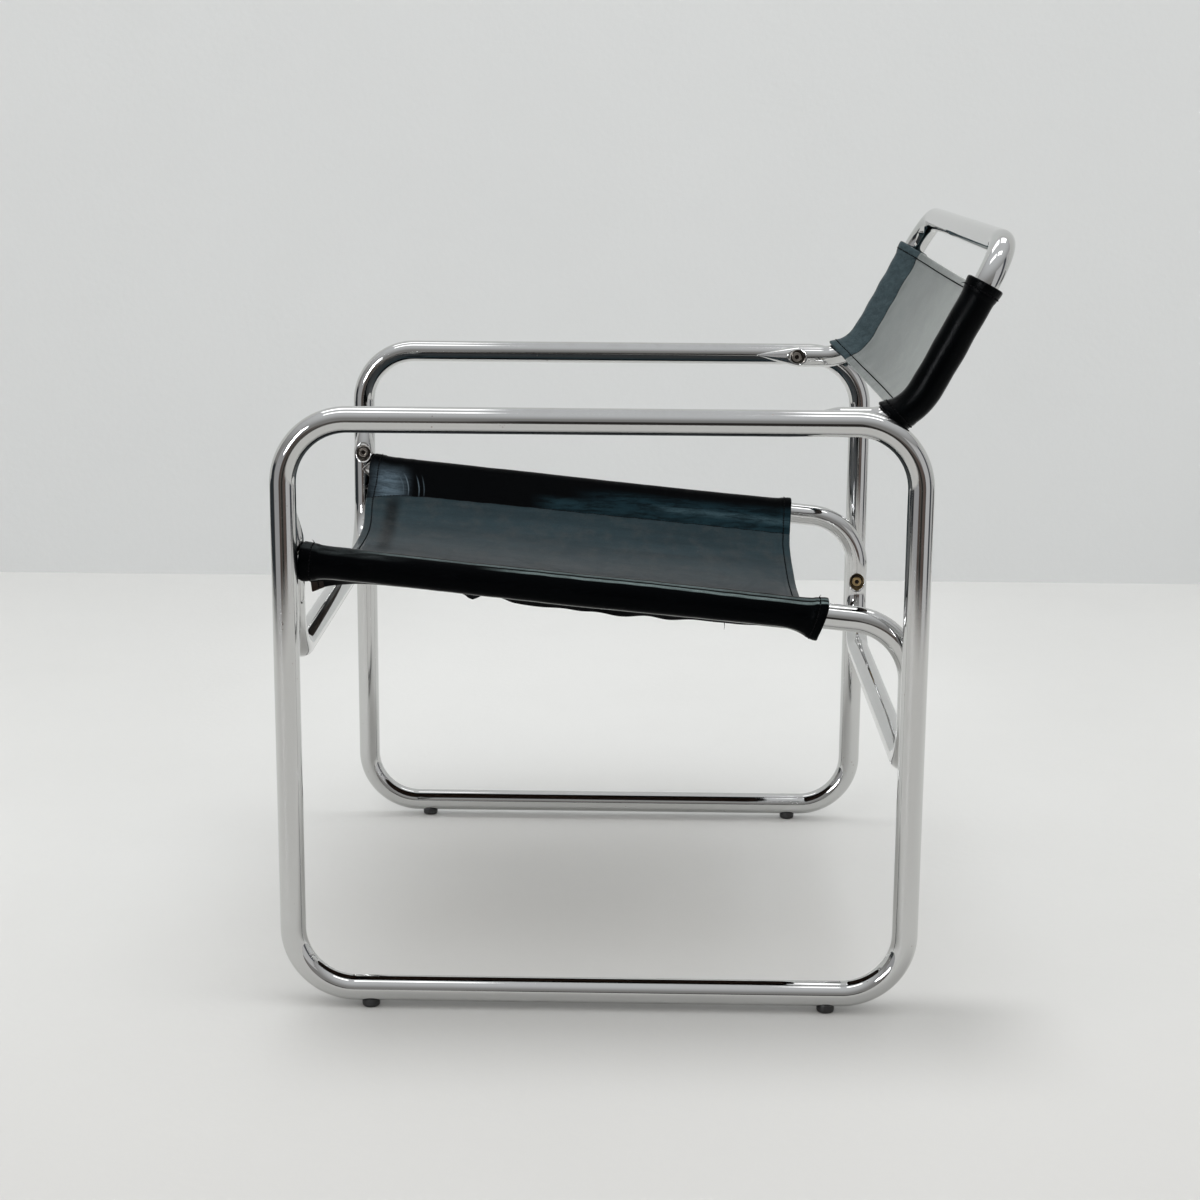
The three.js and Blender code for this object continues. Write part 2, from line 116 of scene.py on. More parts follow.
def new_group(name, inputs, outputs):
    group = bpy.data.node_groups.new(name, "ShaderNodeTree")
    for label, kind, value in inputs:
        socket = group.interface.new_socket(label, in_out="INPUT", socket_type=kind)
        if kind == "NodeSocketFloat":
            socket.default_value = value
    for label in outputs:
        group.interface.new_socket(label, in_out="OUTPUT", socket_type="NodeSocketFloat")
    entry = group.nodes.new("NodeGroupInput")
    result = group.nodes.new("NodeGroupOutput")
    return group, entry.outputs, result.inputs


def link(tree, start, end):
    tree.links.new(start, end)


def put(tree, target, value):
    if isinstance(value, bpy.types.NodeSocket):
        link(tree, value, target)
    else:
        target.default_value = value


def sums(tree, operation, first, second=0.0, third=0.0, clamp=False):
    node = tree.nodes.new("ShaderNodeMath")
    node.operation = operation
    node.use_clamp = clamp
    put(tree, node.inputs[0], first)
    put(tree, node.inputs[1], second)
    put(tree, node.inputs[2], third)
    return node.outputs[0]


def times(tree, first, *others):
    """The product of several values, multiplied in the order given."""
    for other in others:
        first = sums(tree, "MULTIPLY", first, other)
    return first


def parts_of(tree, vector):
    node = tree.nodes.new("ShaderNodeSeparateXYZ")
    link(tree, vector, node.inputs[0])
    return node.outputs


def set_plain(shader, **values):
    """Plain values straight on the shader's sockets, where an export can read them."""
    for label, value in values.items():
        shader.inputs[label.replace("_", " ")].default_value = value


def ramp(tree, value, low, high, start=0.0, end=1.0):
    node = tree.nodes.new("ShaderNodeMapRange")
    node.interpolation_type = "SMOOTHSTEP"
    put(tree, node.inputs["Value"], value)
    put(tree, node.inputs["From Min"], low)
    put(tree, node.inputs["From Max"], high)
    put(tree, node.inputs["To Min"], start)
    put(tree, node.inputs["To Max"], end)
    return node.outputs["Result"]


def window(tree, value, low, high, soft):
    opens = ramp(tree, value, low - soft, low + soft)
    shuts = ramp(tree, value, high - soft, high + soft, 1.0, 0.0)
    return times(tree, opens, shuts)


def noise(tree, vector, scale, detail=2.0, rough=0.5, distortion=0.0):
    node = tree.nodes.new("ShaderNodeTexNoise")
    put(tree, node.inputs["Vector"], vector)
    put(tree, node.inputs["Scale"], scale)
    node.inputs["Detail"].default_value = detail
    node.inputs["Roughness"].default_value = rough
    node.inputs["Distortion"].default_value = distortion
    return node.outputs["Fac"]


def stretched(tree, vector, scale):
    node = tree.nodes.new("ShaderNodeMapping")
    put(tree, node.inputs["Vector"], vector)
    node.inputs["Scale"].default_value = scale
    return node.outputs["Vector"]


def mixed(tree, share, first, second):
    node = tree.nodes.new("ShaderNodeMix")
    node.data_type = "RGBA"
    put(tree, node.inputs[0], share)
    put(tree, node.inputs[6], first)
    put(tree, node.inputs[7], second)
    return node.outputs[2]


# %% Hair-fine scratches and pits


def build_scratches():
    group, given, result = new_group(
        "Scratches and pits",
        [
            ("Vector", "NodeSocketVector", None),
            ("Scratches", "NodeSocketFloat", 0.5),
            ("Pits", "NodeSocketFloat", 0.5),
        ],
        ["Scratch", "Pit", "Height"],
    )
    lines = None
    for scale in ((900.0, 14.0, 900.0), (900.0, 900.0, 16.0), (20.0, 700.0, 500.0)):
        streak = noise(group, stretched(group, given["Vector"], scale), 1.0, 1.0)
        line = ramp(group, streak, 0.70, 0.78)
        lines = line if lines is None else sums(group, "MAXIMUM", lines, line)
    patches = ramp(group, noise(group, given["Vector"], 9.0, 2.0), 0.42, 0.68)
    scratch = times(group, lines, patches, given["Scratches"])
    specks = group.nodes.new("ShaderNodeTexVoronoi")
    link(group, given["Vector"], specks.inputs["Vector"])
    specks.inputs["Scale"].default_value = 210.0
    dots = ramp(group, specks.outputs["Distance"], 0.10, 0.20, 1.0, 0.0)
    rare = ramp(group, noise(group, given["Vector"], 34.0, 3.0), 0.60, 0.70)
    pit = times(group, dots, rare, given["Pits"])
    depth = sums(group, "ADD", times(group, scratch, 0.3), pit)
    link(group, scratch, result["Scratch"])
    link(group, pit, result["Pit"])
    link(group, sums(group, "SUBTRACT", 1.0, depth), result["Height"])
    return group


SCRATCHES = build_scratches()
print("group:", SCRATCHES.name)

# %% Leather grain


def build_grain():
    group, given, result = new_group(
        "Leather grain",
        [
            ("Vector", "NodeSocketVector", None),
            ("Scale", "NodeSocketFloat", 850.0),
            ("Creases", "NodeSocketFloat", 0.5),
        ],
        ["Height", "Shade"],
    )
    cells = group.nodes.new("ShaderNodeTexVoronoi")
    cells.feature = "DISTANCE_TO_EDGE"
    wobble = group.nodes.new("ShaderNodeTexNoise")
    link(group, given["Vector"], wobble.inputs["Vector"])
    wobble.inputs["Scale"].default_value = 260.0
    bent = group.nodes.new("ShaderNodeVectorMath")
    bent.operation = "MULTIPLY_ADD"
    link(group, wobble.outputs["Color"], bent.inputs[0])
    bent.inputs[1].default_value = (0.0012, 0.0012, 0.0012)
    link(group, given["Vector"], bent.inputs[2])
    link(group, bent.outputs[0], cells.inputs["Vector"])
    link(group, given["Scale"], cells.inputs["Scale"])
    pebbles = ramp(group, cells.outputs["Distance"], 0.0, 0.28)
    fine = noise(group, given["Vector"], 1900.0, 2.0)
    folds = noise(group, stretched(group, given["Vector"], (1.0, 0.45, 1.0)), 70.0, 5.0, 0.6, 1.2)
    fold_lines = ramp(group, sums(group, "ABSOLUTE", sums(group, "SUBTRACT", folds, 0.5)), 0.0, 0.05)
    creased = times(group, sums(group, "SUBTRACT", fold_lines, 1.0), given["Creases"])
    height = sums(group, "ADD", times(group, pebbles, 0.55), times(group, fine, 0.25))
    link(group, sums(group, "ADD", height, creased), result["Height"])
    link(group, sums(group, "ADD", pebbles, creased, clamp=True), result["Shade"])
    return group


GRAIN = build_grain()
print("group:", GRAIN.name)

# %% Dust and rubs


def build_dust():
    group, given, result = new_group(
        "Dust and rubs",
        [
            ("Vector", "NodeSocketVector", None),
            ("Dust", "NodeSocketFloat", 0.3),
            ("Rubs", "NodeSocketFloat", 0.5),
        ],
        ["Dust", "Rub"],
    )
    surface = group.nodes.new("ShaderNodeNewGeometry")
    upward = ramp(group, parts_of(group, surface.outputs["Normal"])["Z"], 0.25, 0.95)
    lies = ramp(group, noise(group, given["Vector"], 46.0, 6.0, 0.65), 0.42, 0.72)
    dust = times(group, upward, lies, given["Dust"])
    worn = ramp(group, noise(group, given["Vector"], 17.0, 4.0, 0.6, 0.6), 0.46, 0.66)
    link(group, dust, result["Dust"])
    link(group, times(group, worn, given["Rubs"]), result["Rub"])
    return group


DUST = build_dust()
print("group:", DUST.name)

# %% [markdown]
# ## The finishes
#
# Chrome is almost a mirror: what one sees in it is the room, so its own nodes only add what
# breaks the mirror, which is fine scratches, a few pits that show brown, and a faint haze. The
# screws are duller steel, and the rear ones brassy where the plating has gone; the ring round
# each head and the bottom of each socket are painted dark as painted shade. Leather is nearly
# black with a waxed coat that shines at low angles on its grain side, brown and matt like suede
# on its flesh side, and dull black on the raw flaps. Painted sheen, painted highlights and a few
# plain bands are windows in the chair's own coordinates, broken up by noise; the panels' lighter
# tones are partly painted sheen as well.

# %% Chromed tube


def new_material(name):
    material = bpy.data.materials.new(name)
    material.use_nodes = True
    tree = material.node_tree
    shader = tree.nodes["Principled BSDF"]
    place = tree.nodes.new("ShaderNodeTexCoord").outputs["Object"]
    return material, tree, shader, place


def placed(tree, group, vector, **values):
    node = tree.nodes.new("ShaderNodeGroup")
    node.node_tree = group
    link(tree, vector, node.inputs["Vector"])
    for label, value in values.items():
        node.inputs[label].default_value = value
    return node.outputs


def bumped(tree, shader, height, strength, distance):
    node = tree.nodes.new("ShaderNodeBump")
    node.inputs["Strength"].default_value = strength
    node.inputs["Distance"].default_value = distance
    link(tree, height, node.inputs["Height"])
    link(tree, node.outputs["Normal"], shader.inputs["Normal"])


def metal(name, colour, worn_colour, rough_low, rough_high, scratches, pits, depth):
    material, tree, shader, place = new_material(name)
    marks = placed(tree, SCRATCHES, place, Scratches=scratches, Pits=pits)
    use = placed(tree, DUST, place, Dust=0.25, Rubs=1.0)
    shader.inputs["Metallic"].default_value = 1.0
    spoiled = sums(tree, "MAXIMUM", marks["Pit"], times(tree, use["Dust"], 0.25))
    link(tree, mixed(tree, spoiled, colour, worn_colour), shader.inputs["Base Color"])
    haze = sums(tree, "MULTIPLY_ADD", use["Rub"], (rough_high - rough_low) * 0.45, rough_low)
    dull = sums(tree, "MULTIPLY_ADD", marks["Scratch"], rough_high - rough_low, haze)
    link(tree, sums(tree, "ADD", dull, times(tree, marks["Pit"], 0.4)), shader.inputs["Roughness"])
    bumped(tree, shader, marks["Height"], 0.35, depth)
    return material


CHROME = metal("Chrome", (0.60, 0.602, 0.596, 1), (0.20, 0.12, 0.08, 1), 0.03, 0.14, 0.55, 0.8, 0.00006)
SCREW_STEEL = metal(
    "Screw steel", (0.27, 0.245, 0.22, 1), (0.12, 0.08, 0.06, 1), 0.24, 0.45, 0.9, 0.9, 0.0001
)
WORN_BRASS = metal(
    "Worn brass", (0.40, 0.29, 0.15, 1), (0.16, 0.10, 0.05, 1), 0.26, 0.50, 0.9, 0.9, 0.0001
)
WELD = metal("Weld bead", (0.22, 0.21, 0.20, 1), (0.10, 0.07, 0.05, 1), 0.30, 0.50, 0.6, 1.0, 0.0001)
print("metals:", [m.name for m in (CHROME, SCREW_STEEL, WORN_BRASS, WELD)])

# %% Plastic of the glides


def glide_plastic():
    material, tree, shader, place = new_material("Glide plastic")
    use = placed(tree, DUST, place, Dust=0.5, Rubs=0.8)
    marks = placed(tree, SCRATCHES, place, Scratches=1.0, Pits=0.4)
    scuffed = sums(tree, "MAXIMUM", use["Dust"], times(tree, marks["Scratch"], 0.5))
    colour = mixed(tree, scuffed, (0.010, 0.010, 0.011, 1), (0.10, 0.095, 0.09, 1))
    link(tree, colour, shader.inputs["Base Color"])
    link(tree, sums(tree, "MULTIPLY_ADD", use["Rub"], 0.2, 0.42), shader.inputs["Roughness"])
    bumped(tree, shader, noise(tree, place, 2600.0, 3.0), 0.25, 0.0001)
    return material


GLIDE = glide_plastic()
print("plastic:", GLIDE.name)

# %% Leather, grain side


ARC_HALF = 0.0005
ARC_REACH = 0.017
ARC_HIGHLIGHT_COLOUR = (0.14, 0.19, 0.23, 1)


def highlight_arcs_round(tree, parts, centre, radii):
    """Painted highlights in thin lines that arch round a point, where the hide was pulled over the tube."""
    squares = []
    for axis, middle in zip("XY", centre):
        off = sums(tree, "ABSOLUTE", sums(tree, "SUBTRACT", parts[axis], middle))
        squares.append(sums(tree, "POWER", off, 2.0))
    away = sums(tree, "SQRT", sums(tree, "ADD", *squares))
    found = None
    for radius, share in radii:
        ring = window(tree, away, radius - ARC_HALF, radius + ARC_HALF, ARC_HALF)
        line = times(tree, ring, share)
        found = line if found is None else sums(tree, "MAXIMUM", found, line)
    low, high = centre[0] - ARC_REACH, centre[0] + 0.001
    return times(tree, found, window(tree, parts["X"], low, high, 0.006))


def leather(
    name, far_tone, near_tone, dark, washes, *, coat, rough, shine_at, top_coat=1.0, dust=0.0,
    sheen=0.0, arcs=(), shine_from=0.32,
):
    """One face of the hide: its tone across the chair, windows and arcs of colour (mostly painted sheen and
    painted highlights), and a waxed coat.
    """
    material, tree, shader, place = new_material(name)
    grain = placed(tree, GRAIN, place, Scale=850.0, Creases=0.3)
    use = placed(tree, DUST, place, Dust=dust, Rubs=1.0)
    parts = parts_of(tree, place)
    facing_up = parts_of(tree, tree.nodes.new("ShaderNodeNewGeometry").outputs["Normal"])["Z"]
    drawn_out = stretched(tree, place, (42.0, 3.5, 42.0))
    streaks = ramp(tree, noise(tree, drawn_out, 1.0, 5.0, 0.62), 0.30, 0.70)
    brushed = noise(tree, stretched(tree, place, (170.0, 30.0, 170.0)), 1.0, 6.0, 0.66, 0.5)
    mottle = ramp(tree, brushed, 0.36, 0.62)
    toned = mixed(tree, ramp(tree, parts["X"], -0.21, -0.04), far_tone, near_tone)
    base = mixed(tree, sums(tree, "MULTIPLY_ADD", streaks, -0.34, 0.34), toned, dark)
    for (x_low, x_high), (y_low, y_high), (x_soft, y_soft), plain, tint, *facing in washes:
        patch = times(
            tree,
            window(tree, parts["X"], x_low, x_high, x_soft),
            window(tree, parts["Y"], y_low, y_high, y_soft),
            sums(tree, "MULTIPLY_ADD", mottle, 1 - plain, plain),
        )
        for way in facing:
            patch = times(tree, patch, ramp(tree, times(tree, facing_up, way), 0.0, 0.2))
        base = mixed(tree, patch, base, tint)
    for centre, radii in arcs:
        base = mixed(tree, highlight_arcs_round(tree, parts, centre, radii), base, ARC_HIGHLIGHT_COLOUR)
    dusty = mixed(tree, use["Dust"], base, (0.060, 0.062, 0.062, 1))
    creased = sums(tree, "MULTIPLY_ADD", grain["Shade"], -0.30, 0.30)
    link(tree, mixed(tree, creased, dusty, dark), shader.inputs["Base Color"])
    link(tree, sums(tree, "MULTIPLY_ADD", use["Rub"], 0.12, rough), shader.inputs["Roughness"])
    set_plain(
        shader, Specular_IOR_Level=shine_at, Sheen_Weight=sheen, Sheen_Roughness=0.35,
        Sheen_Tint=(0.93, 1.0, 0.99, 1), Coat_Roughness=0.24, Coat_IOR=1.5,
    )
    low_angle = tree.nodes.new("ShaderNodeLayerWeight")
    low_angle.inputs["Blend"].default_value = 0.5
    shine = ramp(tree, low_angle.outputs["Facing"], shine_from, 0.94, 0.0, coat)
    shine = times(
        tree,
        shine,
        ramp(tree, facing_up, -0.3, 0.2, 1.0, top_coat),
        sums(tree, "MULTIPLY_ADD", grain["Shade"], 0.22, 0.78),
        sums(tree, "MULTIPLY_ADD", mottle, 0.35, 0.70),
    )
    link(tree, shine, shader.inputs["Coat Weight"])
    bumped(tree, shader, grain["Height"], 0.22, 0.00022)
    return material


BLACK = (0.0003, 0.0004, 0.0006, 1)
INK = (0.0005, 0.0009, 0.0013, 1)
SEAT_FRONT_Y = HOOP_Y + SEAT_FRONT
def from_front(*washes):
    """Washes whose places along the chair are counted from the seat sleeves' front."""
    return tuple(
        (across, tuple(SEAT_FRONT_Y + reach for reach in along), *rest)
        for across, along, *rest in washes
    )


# Windows of colour on the seat's sleeves, most of them painted light; a last 1 or -1 keeps a window to
# faces that look up or down.
SEAT_SLEEVE_WASHES = from_front(
    # Painted sheen on the far sleeve's front corner.
    ((-0.264, -0.228), (0.003, 0.036), (0.009, 0.014), 0.50, (0.095, 0.135, 0.170, 1)),
    # Painted sheen along the far sleeve's flank, in three washes.
    ((-0.253, -0.225), (0.205, 0.600), (0.004, 0.020), 0.30, (0.010, 0.027, 0.036, 1)),
    ((-0.265, -0.247), (0.270, 0.600), (0.006, 0.040), 0.30, (0.008, 0.024, 0.033, 1)),
    ((-0.2565, -0.2500), (0.340, 0.505), (0.003, 0.030), 0.15, (0.035, 0.065, 0.080, 1)),
    # A lighter band over the top of the near sleeve's front end.
    ((0.2800, 0.2960), (-0.020, 0.080), (0.0015, 0.030), 0.25, (0.030, 0.036, 0.038, 1), 1),
    # Two painted highlight lines along the top of the near sleeve.
    ((0.2870, 0.2905), (0.070, 0.600), (0.0005, 0.040), 0.60, (0.125, 0.160, 0.165, 1), 1),
    ((0.2925, 0.2950), (0.190, 0.600), (0.0005, 0.030), 0.60, (0.170, 0.220, 0.225, 1), 1),
    # Two painted highlight lines along the underside of the near sleeve.
    ((0.2868, 0.2915), (0.185, 0.470), (0.0008, 0.015), 0.60, (0.400, 0.430, 0.410, 1), -1),
    ((0.2868, 0.2915), (0.012, 0.070), (0.0008, 0.006), 0.60, (0.300, 0.320, 0.310, 1), -1),
)
# A darker band across the far half of the seat panel, just behind its front hem.
SEAT_PANEL_WASHES = from_front(
    ((-0.232, -0.100), (0.019, 0.034), (0.016, 0.006), 0.85, (0.004, 0.007, 0.009, 1)),
)
# Painted highlight arcs on the far sleeve's front corner.
SEAT_ARC_HIGHLIGHTS = (
    ((-0.2405, SEAT_FRONT_Y + 0.010), ((0.033, 0.8), (0.0455, 0.7), (0.0515, 0.35), (0.027, 0.25))),
)
# Painted sheen over the far sleeve of the back.
BACK_PAINTED_SHEEN = (((-0.2990, -0.200), (0.0, 0.70), (0.006, 0.05), 0.75, (0.062, 0.090, 0.104, 1)),)
SEAT_SLEEVE = leather(
    "Seat sleeve leather", INK, INK, BLACK, SEAT_SLEEVE_WASHES,
    coat=0.75, top_coat=0.30, rough=0.34, shine_at=0.02, arcs=SEAT_ARC_HIGHLIGHTS, shine_from=0.50,
)
# The seat panel's slate tones, lighter and bluer than the sleeves' ink, are partly the hide's own tone and
# partly painted sheen.
SEAT_PANEL = leather(
    "Seat panel leather", (0.024, 0.043, 0.053, 1), (0.050, 0.055, 0.061, 1), (0.004, 0.006, 0.007, 1),
    SEAT_PANEL_WASHES, coat=0.75, rough=0.42, shine_at=0.05, dust=0.35, sheen=0.04,
)
BACK_SLEEVE = leather(
    "Back sleeve leather", INK, INK, BLACK, BACK_PAINTED_SHEEN,
    coat=0.60, top_coat=0.40, rough=0.26, shine_at=0.04, shine_from=0.50,
)
FLAP = leather("Raw edge leather", INK, INK, BLACK, (), coat=0.0, rough=0.60, shine_at=0.02)
# The back panel's pale grey is partly the hide's own worn tone and partly painted sheen.
BACK_PANEL = leather(
    "Back panel leather", (0.150, 0.163, 0.164, 1), (0.172, 0.181, 0.179, 1), (0.080, 0.086, 0.088, 1),
    (), coat=0.60, rough=0.45, shine_at=0.05, dust=0.2, sheen=0.75,
)
print("leather:", [m.name for m in (SEAT_SLEEVE, SEAT_PANEL, BACK_SLEEVE, BACK_PANEL)])

# %% Leather, flesh side, and thread


def suede():
    material, tree, shader, place = new_material("Suede of the flesh side")
    nap = noise(tree, place, 900.0, 6.0, 0.7)
    blotches = ramp(tree, noise(tree, place, 24.0, 4.0), 0.35, 0.7)
    colour = mixed(tree, blotches, (0.030, 0.014, 0.008, 1), (0.010, 0.006, 0.005, 1))
    link(tree, mixed(tree, nap, colour, (0.012, 0.008, 0.006, 1)), shader.inputs["Base Color"])
    set_plain(shader, Roughness=0.92, Specular_IOR_Level=0.06, Sheen_Weight=0.06, Sheen_Roughness=0.5)
    bumped(tree, shader, nap, 0.6, 0.0004)
    return material


def thread():
    material, tree, shader, place = new_material("Waxed thread")
    twist = noise(tree, stretched(tree, place, (1500.0, 2600.0, 1500.0)), 1.0, 2.0)
    colour = mixed(tree, twist, (0.0010, 0.0011, 0.0013, 1), (0.006, 0.006, 0.007, 1))
    link(tree, colour, shader.inputs["Base Color"])
    set_plain(shader, Roughness=0.6, Specular_IOR_Level=0.03)
    bumped(tree, shader, twist, 0.5, 0.00015)
    return material


# A dark, speckled finish for the ring on the dish floor round each screw head and for the bottom of each
# socket: painted shade in these recesses.
def painted_recess_shade():
    material, tree, shader, place = new_material("Painted shade round the screws")
    shade_speckle = noise(tree, place, 1400.0, 5.0, 0.7)
    colour = mixed(tree, shade_speckle, (0.004, 0.003, 0.0025, 1), (0.030, 0.022, 0.017, 1))
    link(tree, colour, shader.inputs["Base Color"])
    set_plain(shader, Roughness=0.8, Specular_IOR_Level=0.15)
    bumped(tree, shader, shade_speckle, 0.6, 0.0002)
    return material


SUEDE = suede()
THREAD = thread()
RECESS_SHADE = painted_recess_shade()
print("flesh side, thread and grime:", SUEDE.name, THREAD.name, RECESS_SHADE.name)

# %% [markdown]
# ## Making a mesh piece
#
# Every piece here is a grid of points: rings along a tube, or rows across a sheet. One helper
# turns the grid and its faces into an object, makes sure that the faces look outward, puts it on
# the frame's one body and hides the imported nodes it stands for.

# %% From points to a piece


def grid_faces(rows, columns, wrap_rows=False, wrap_columns=False, first=0):
    row = np.arange(rows if wrap_rows else rows - 1)[:, None]
    column = np.arange(columns if wrap_columns else columns - 1)[None, :]
    after_row = (row + 1) % rows
    after_column = (column + 1) % columns
    corners = [
        row * columns + column,
        row * columns + after_column,
        after_row * columns + after_column,
        after_row * columns + column,
    ]
    return first + np.stack([np.broadcast_to(c, corners[1].shape) for c in corners], -1).reshape(-1, 4)


def fan_faces(ring, centre):
    return [(a, b, centre) for a, b in zip(ring, list(ring[1:]) + [ring[0]])]


def enclosed(points, quads, triangles):
    total = 0.0
    sets = [quads[:, [0, 1, 2]], quads[:, [0, 2, 3]]] if len(quads) else []
    if len(triangles):
        sets.append(np.asarray(triangles))
    for corners in sets:
        a, b, c = (points[corners[:, k]] for k in range(3))
        total += float((a * np.cross(b, c)).sum()) / 6
    return total


def new_piece(name, points, quads, material, triangles=(), stands_for=()):
    points = np.asarray(points, float).reshape(-1, 3)
    quads = np.asarray(quads, int).reshape(-1, 4)
    volume = enclosed(points, quads, triangles)
    faces = [tuple(q) for q in quads.tolist()] + [tuple(t) for t in triangles]
    if volume < 0:
        faces = [face[::-1] for face in faces]
    mesh = bpy.data.meshes.new(name)
    mesh.from_pydata(points.tolist(), [], faces)
    mesh.shade_smooth()
    piece = bpy.data.objects.new(name, mesh)
    bpy.context.scene.collection.objects.link(piece)
    mesh.materials.append(material)
    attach(piece, "root")
    if stands_for:
        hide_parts(*stands_for)
    print(f"{name}: {len(points)} points, {abs(volume) * 1e6:.1f} cm3")
    return piece


def new_rod(name, grid, material, stands_for=()):
    """A piece from rings of points, with a fan of faces over each open end."""
    rows, sides = grid.shape[:2]
    total = rows * sides
    points = np.concatenate([grid.reshape(-1, 3), [grid[0].mean(0), grid[-1].mean(0)]])
    ends = fan_faces(list(range(sides))[::-1], total)
    ends += fan_faces(list(range(total - sides, total)), total + 1)
    faces = grid_faces(rows, sides, wrap_columns=True)
    return new_piece(name, points, faces, material, triangles=ends, stands_for=stands_for)


# %% [markdown]
# ## Bent tube
#
# A tube is bent from a straight length, so its centre line is straight runs joined by arcs. The
# line is sampled finely in the bends, sparsely on the straights and very finely beside a screw,
# where the wall was pressed in. A ring of points is carried along it without twisting.

# %% The centre line
BEND_STEP = math.radians(3.75)
LONG_STEP = 0.012
FINE_STEP = 0.0005
FINE_REACH = 0.0135


def bend_spots(before, corner, after, bend):
    come = (corner - before).normalized()
    go = (after - corner).normalized()
    turn = come.angle(go)
    inward = (go - come * math.cos(turn)).normalized()
    centre = corner - come * (bend * math.tan(turn / 2)) + inward * bend
    steps = max(2, round(turn / BEND_STEP))
    spots = []
    for angle in (turn * step / steps for step in range(steps + 1)):
        point = centre - inward * (bend * math.cos(angle)) + come * (bend * math.sin(angle))
        spots.append((point, come * math.cos(angle) + inward * math.sin(angle)))
    return spots


def centre_line(corners, bends, closed=False, fine_at=()):
    corners = [Vector(corner) for corner in corners]
    count = len(corners)
    spots = []
    if not closed:
        spots.append((corners[0], (corners[1] - corners[0]).normalized()))
    for index, bend in enumerate(bends):
        at = index if closed else index + 1
        spots += bend_spots(corners[at - 1], corners[at], corners[(at + 1) % count], bend)
    if not closed:
        spots.append((corners[-1], (corners[-1] - corners[-2]).normalized()))
    line = []
    for index in range(len(spots) if closed else len(spots) - 1):
        point, along = spots[index]
        length = (spots[(index + 1) % len(spots)][0] - point).length
        line.append((point, along))
        if length < LONG_STEP:
            continue
        marks = set(np.arange(LONG_STEP, length - LONG_STEP / 4, LONG_STEP))
        for place in fine_at:
            reach = (place - point).dot(along)
            if (place - point - along * reach).length < TUBE_RADIUS:
                low, high = max(reach - FINE_REACH, FINE_STEP), min(reach + FINE_REACH, length)
                marks = {mark for mark in marks if not low < mark < high}
                marks |= set(np.arange(low, high - FINE_STEP / 2, FINE_STEP))
        line += [(point + along * mark, along) for mark in sorted(marks)]
    if not closed:
        line.append(spots[-1])
    return line


def with_axes(line, side):
    side = Vector(side)
    previous = line[0][1]
    rows = []
    for point, along in line:
        side.rotate(previous.rotation_difference(along))
        previous = along
        rows.append((point, along, side.copy(), along.cross(side)))
    return [np.array([list(row[k]) for row in rows]) for k in range(4)]


def around(sides):
    angle = np.arange(sides) / sides * 2 * math.pi
    return np.cos(angle)[:, None], np.sin(angle)[:, None]


def rings(axes, radius, sides):
    points, _, side, up = axes
    across, over = around(sides)
    return points[:, None] + radius * (across * side[:, None] + over * up[:, None])


# %% [markdown]
# ## The two side frames
#
# Each side frame is one loop: runner, rear post, armrest and front post. It is the same tube on
# both sides, and the loop closes on itself, so the grid wraps round in both directions.

# %% Side frames
SIDE_SIDES = 80


def side_frame(word, hand):
    x = hand * SIDE_X
    corners = [
        (x, FRONT_POST_Y, RUNNER_Z),
        (x, REAR_POST_Y, RUNNER_Z),
        (x, REAR_POST_Y, ARM_Z),
        (x, FRONT_POST_Y, ARM_Z),
    ]
    axes = with_axes(centre_line(corners, [SIDE_BEND] * 4, closed=True), (1, 0, 0))
    grid = rings(axes, TUBE_RADIUS, SIDE_SIDES)
    faces = grid_faces(len(grid), SIDE_SIDES, wrap_rows=True, wrap_columns=True)
    return new_piece(
        f"{word}_side_tube", grid, faces, CHROME, stands_for=[f"{word}_side_frame"]
    )


for word, hand in (("left", 1), ("right", -1)):
    side_frame(word, hand)

# %% [markdown]
# ## Pressed seats for the screws
#
# Where a screw passes through an inner tube, the tube's wall was pressed into a dish so that the
# head lies below the surface. The dish is made by moving the tube's own points along the screw's
# axis: each point goes to the lower of two surfaces, the tube's and the dish's, and a soft
# minimum rounds the lip between them as a press does.

# %% The dish
DISH_FLOOR = TUBE_RADIUS - 0.007
DISH_FLOOR_RADIUS = 0.0074
DISH_SLOPE = 0.007 / (0.011 - DISH_FLOOR_RADIUS)
DISH_LIP = 0.00045


def pressed(points, places):
    for place in places:
        away = np.hypot(points[..., 1] - place.y, points[..., 2] - place.z)
        inboard = INNER_X - np.abs(points[..., 0])
        climb = np.logaddexp(0, (away - DISH_FLOOR_RADIUS) / DISH_LIP) * DISH_LIP
        dish = DISH_FLOOR + climb * DISH_SLOPE
        sunk = -DISH_LIP * np.logaddexp(-inboard / DISH_LIP, -dish / DISH_LIP)
        near = (inboard > 0) & (away < FINE_REACH)
        fade = np.clip((FINE_REACH - away) / 0.0015, 0, 1)
        inboard = np.where(near, inboard + (sunk - inboard) * fade, inboard)
        points[..., 0] = np.sign(points[..., 0]) * (INNER_X - inboard)
    return points


def both_sides(place):
    return [Vector((hand * INNER_X, place.y, place.z)) for hand in (1, -1)]


# %% [markdown]
# ## Tapered closed ends
#
# The front hoop's uprights and the arms of the back frame end in long smooth tips. Each tip lies
# against the side frame, so the taper shows only from inboard: the rings shrink towards the tip
# and their centres move outboard by as much as their radius has shrunk.

# %% Tapered end
INNER_SIDES = 96
TIP_LENGTH = 0.050
TIP_STEPS = 28


